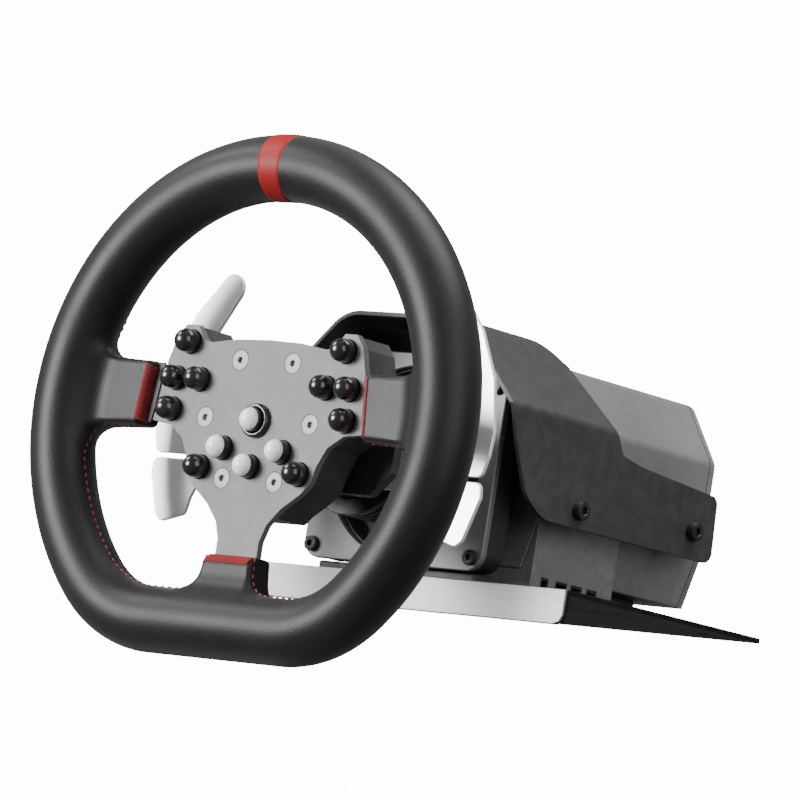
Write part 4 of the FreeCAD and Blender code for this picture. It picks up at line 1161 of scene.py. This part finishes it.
OPERATORS = (
    WHEEL_OT_stage, WHEEL_OT_leather, WHEEL_OT_stitches, WHEEL_OT_plate, WHEEL_OT_buttons,
    WHEEL_OT_paddles, WHEEL_OT_hub_back, WHEEL_OT_hood, WHEEL_OT_front, WHEEL_OT_motor, WHEEL_OT_base,
)


# Stage
def soft_light(name, place, target, width, power):
    """Square lamp at a place, turned to its target."""
    light = bpy.data.lights.new(name, "AREA")
    light.shape = "SQUARE"
    light.size = width
    light.energy = power
    lamp = linked(name, light)
    lamp.location = place
    lamp.rotation_euler = (Vector(target) - Vector(place)).to_track_quat("-Z", "Y").to_euler()


def floor_material():
    """Pale matt floor, seen from above only."""
    material = bpy.data.materials.new("studio_floor")
    tree = cleared(material)
    place = tree.nodes.new("ShaderNodeTexCoord").outputs["Object"]
    spots = noise(tree, place, 3.0, 4.0)
    shade = mixed(tree, spots, (0.76, 0.76, 0.76, 1.0), (0.80, 0.80, 0.80, 1.0))
    shader = put(tree, "ShaderNodeBsdfPrincipled", {"Base Color": shade, "Roughness": 0.9})
    clear = tree.nodes.new("ShaderNodeBsdfTransparent")
    under = tree.nodes.new("ShaderNodeNewGeometry").outputs["Backfacing"]
    either = put(tree, "ShaderNodeMixShader", {0: under, 1: shader, 2: clear})
    put(tree, "ShaderNodeOutputMaterial", {"Surface": either})
    return material


def make_floor(height):
    """Floor that the camera sees and that throws no light on the object."""
    size = FLOOR_HALF_WIDTH
    corners = [(-size, -size, height), (size, -size, height), (size, size, height), (-size, size, height)]
    floor = new_piece("studio_floor", corners, [(0, 1, 2, 3)], [floor_material()])
    floor.visible_diffuse = False
    floor.visible_glossy = False


def make_world(studio):
    """White backdrop for the camera, and a dimmer room for everything that reflects it."""
    world = bpy.data.worlds.new("studio")
    bpy.context.scene.world = world
    tree = cleared(world)
    direct = tree.nodes.new("ShaderNodeLightPath").outputs["Is Camera Ray"]
    room = put(tree, "ShaderNodeBackground", {"Color": WHITE, "Strength": studio.surroundings})
    behind = put(tree, "ShaderNodeBackground", {"Color": WHITE, "Strength": studio.backdrop})
    either = put(tree, "ShaderNodeMixShader", {0: direct, 1: room, 2: behind})
    put(tree, "ShaderNodeOutputWorld", {"Surface": either})


def make_camera(studio):
    """Camera at its place, turned to its target and rolled about its own axis."""
    camera = linked("camera", bpy.data.cameras.new("camera"))
    camera.data.sensor_width = 36.0
    camera.data.lens = studio.lens
    place = Vector(CAMERA_PLACE)
    look = (Vector(CAMERA_TARGET) - place).normalized()
    level = look.cross(Vector((0.0, 0.0, 1.0))).normalized()
    rise = level.cross(look)
    right = level * math.cos(studio.roll) + rise * math.sin(studio.roll)
    up = rise * math.cos(studio.roll) - level * math.sin(studio.roll)
    matrix = Matrix((right, up, -look)).transposed().to_4x4()
    matrix.translation = place
    camera.matrix_world = matrix
    bpy.context.scene.camera = camera


def make_stage(studio):
    """Floor, surroundings, lights and camera."""
    make_floor(studio.floor_height)
    make_world(studio)
    for name, place, target, width in LIGHTS:
        soft_light(name + "_light", place, target, width, getattr(studio, name + "_power"))
    make_camera(studio)


# Panel and registration
SETTINGS = {"wheel_sizes": WheelSizes, "wheel_colours": WheelColours, "wheel_studio": StudioSettings}


class WHEEL_PT_pieces(bpy.types.Panel):
    """Racing wheel pieces"""
    bl_label = "Racing Wheel"
    bl_idname = "WHEEL_PT_pieces"
    bl_space_type = "VIEW_3D"
    bl_region_type = "UI"
    bl_category = "Racing Wheel"

    def draw(self, context):
        """Lists the settings and the operators"""
        for settings in SETTINGS:
            group = getattr(context.scene, settings)
            box = self.layout.box()
            for name in group.bl_rna.properties.keys():
                if name not in ("rna_type", "name"):
                    box.prop(group, name)
        for operator in OPERATORS:
            self.layout.operator(operator.bl_idname)


CLASSES = (*SETTINGS.values(), *OPERATORS, WHEEL_PT_pieces)


def register():
    """Registers the classes and hangs their settings on the scene."""
    for item in CLASSES:
        bpy.utils.register_class(item)
    for name, kind in SETTINGS.items():
        setattr(bpy.types.Scene, name, PointerProperty(type=kind))


def unregister():
    """Undoes what register() does."""
    for name in SETTINGS:
        delattr(bpy.types.Scene, name)
    for item in reversed(CLASSES):
        bpy.utils.unregister_class(item)


def main():
    """Makes every piece and the stage."""
    register()
    for operator in OPERATORS:
        group, name = operator.bl_idname.split(".")
        getattr(getattr(bpy.ops, group), name)()


if __name__ == "__main__":
    main()
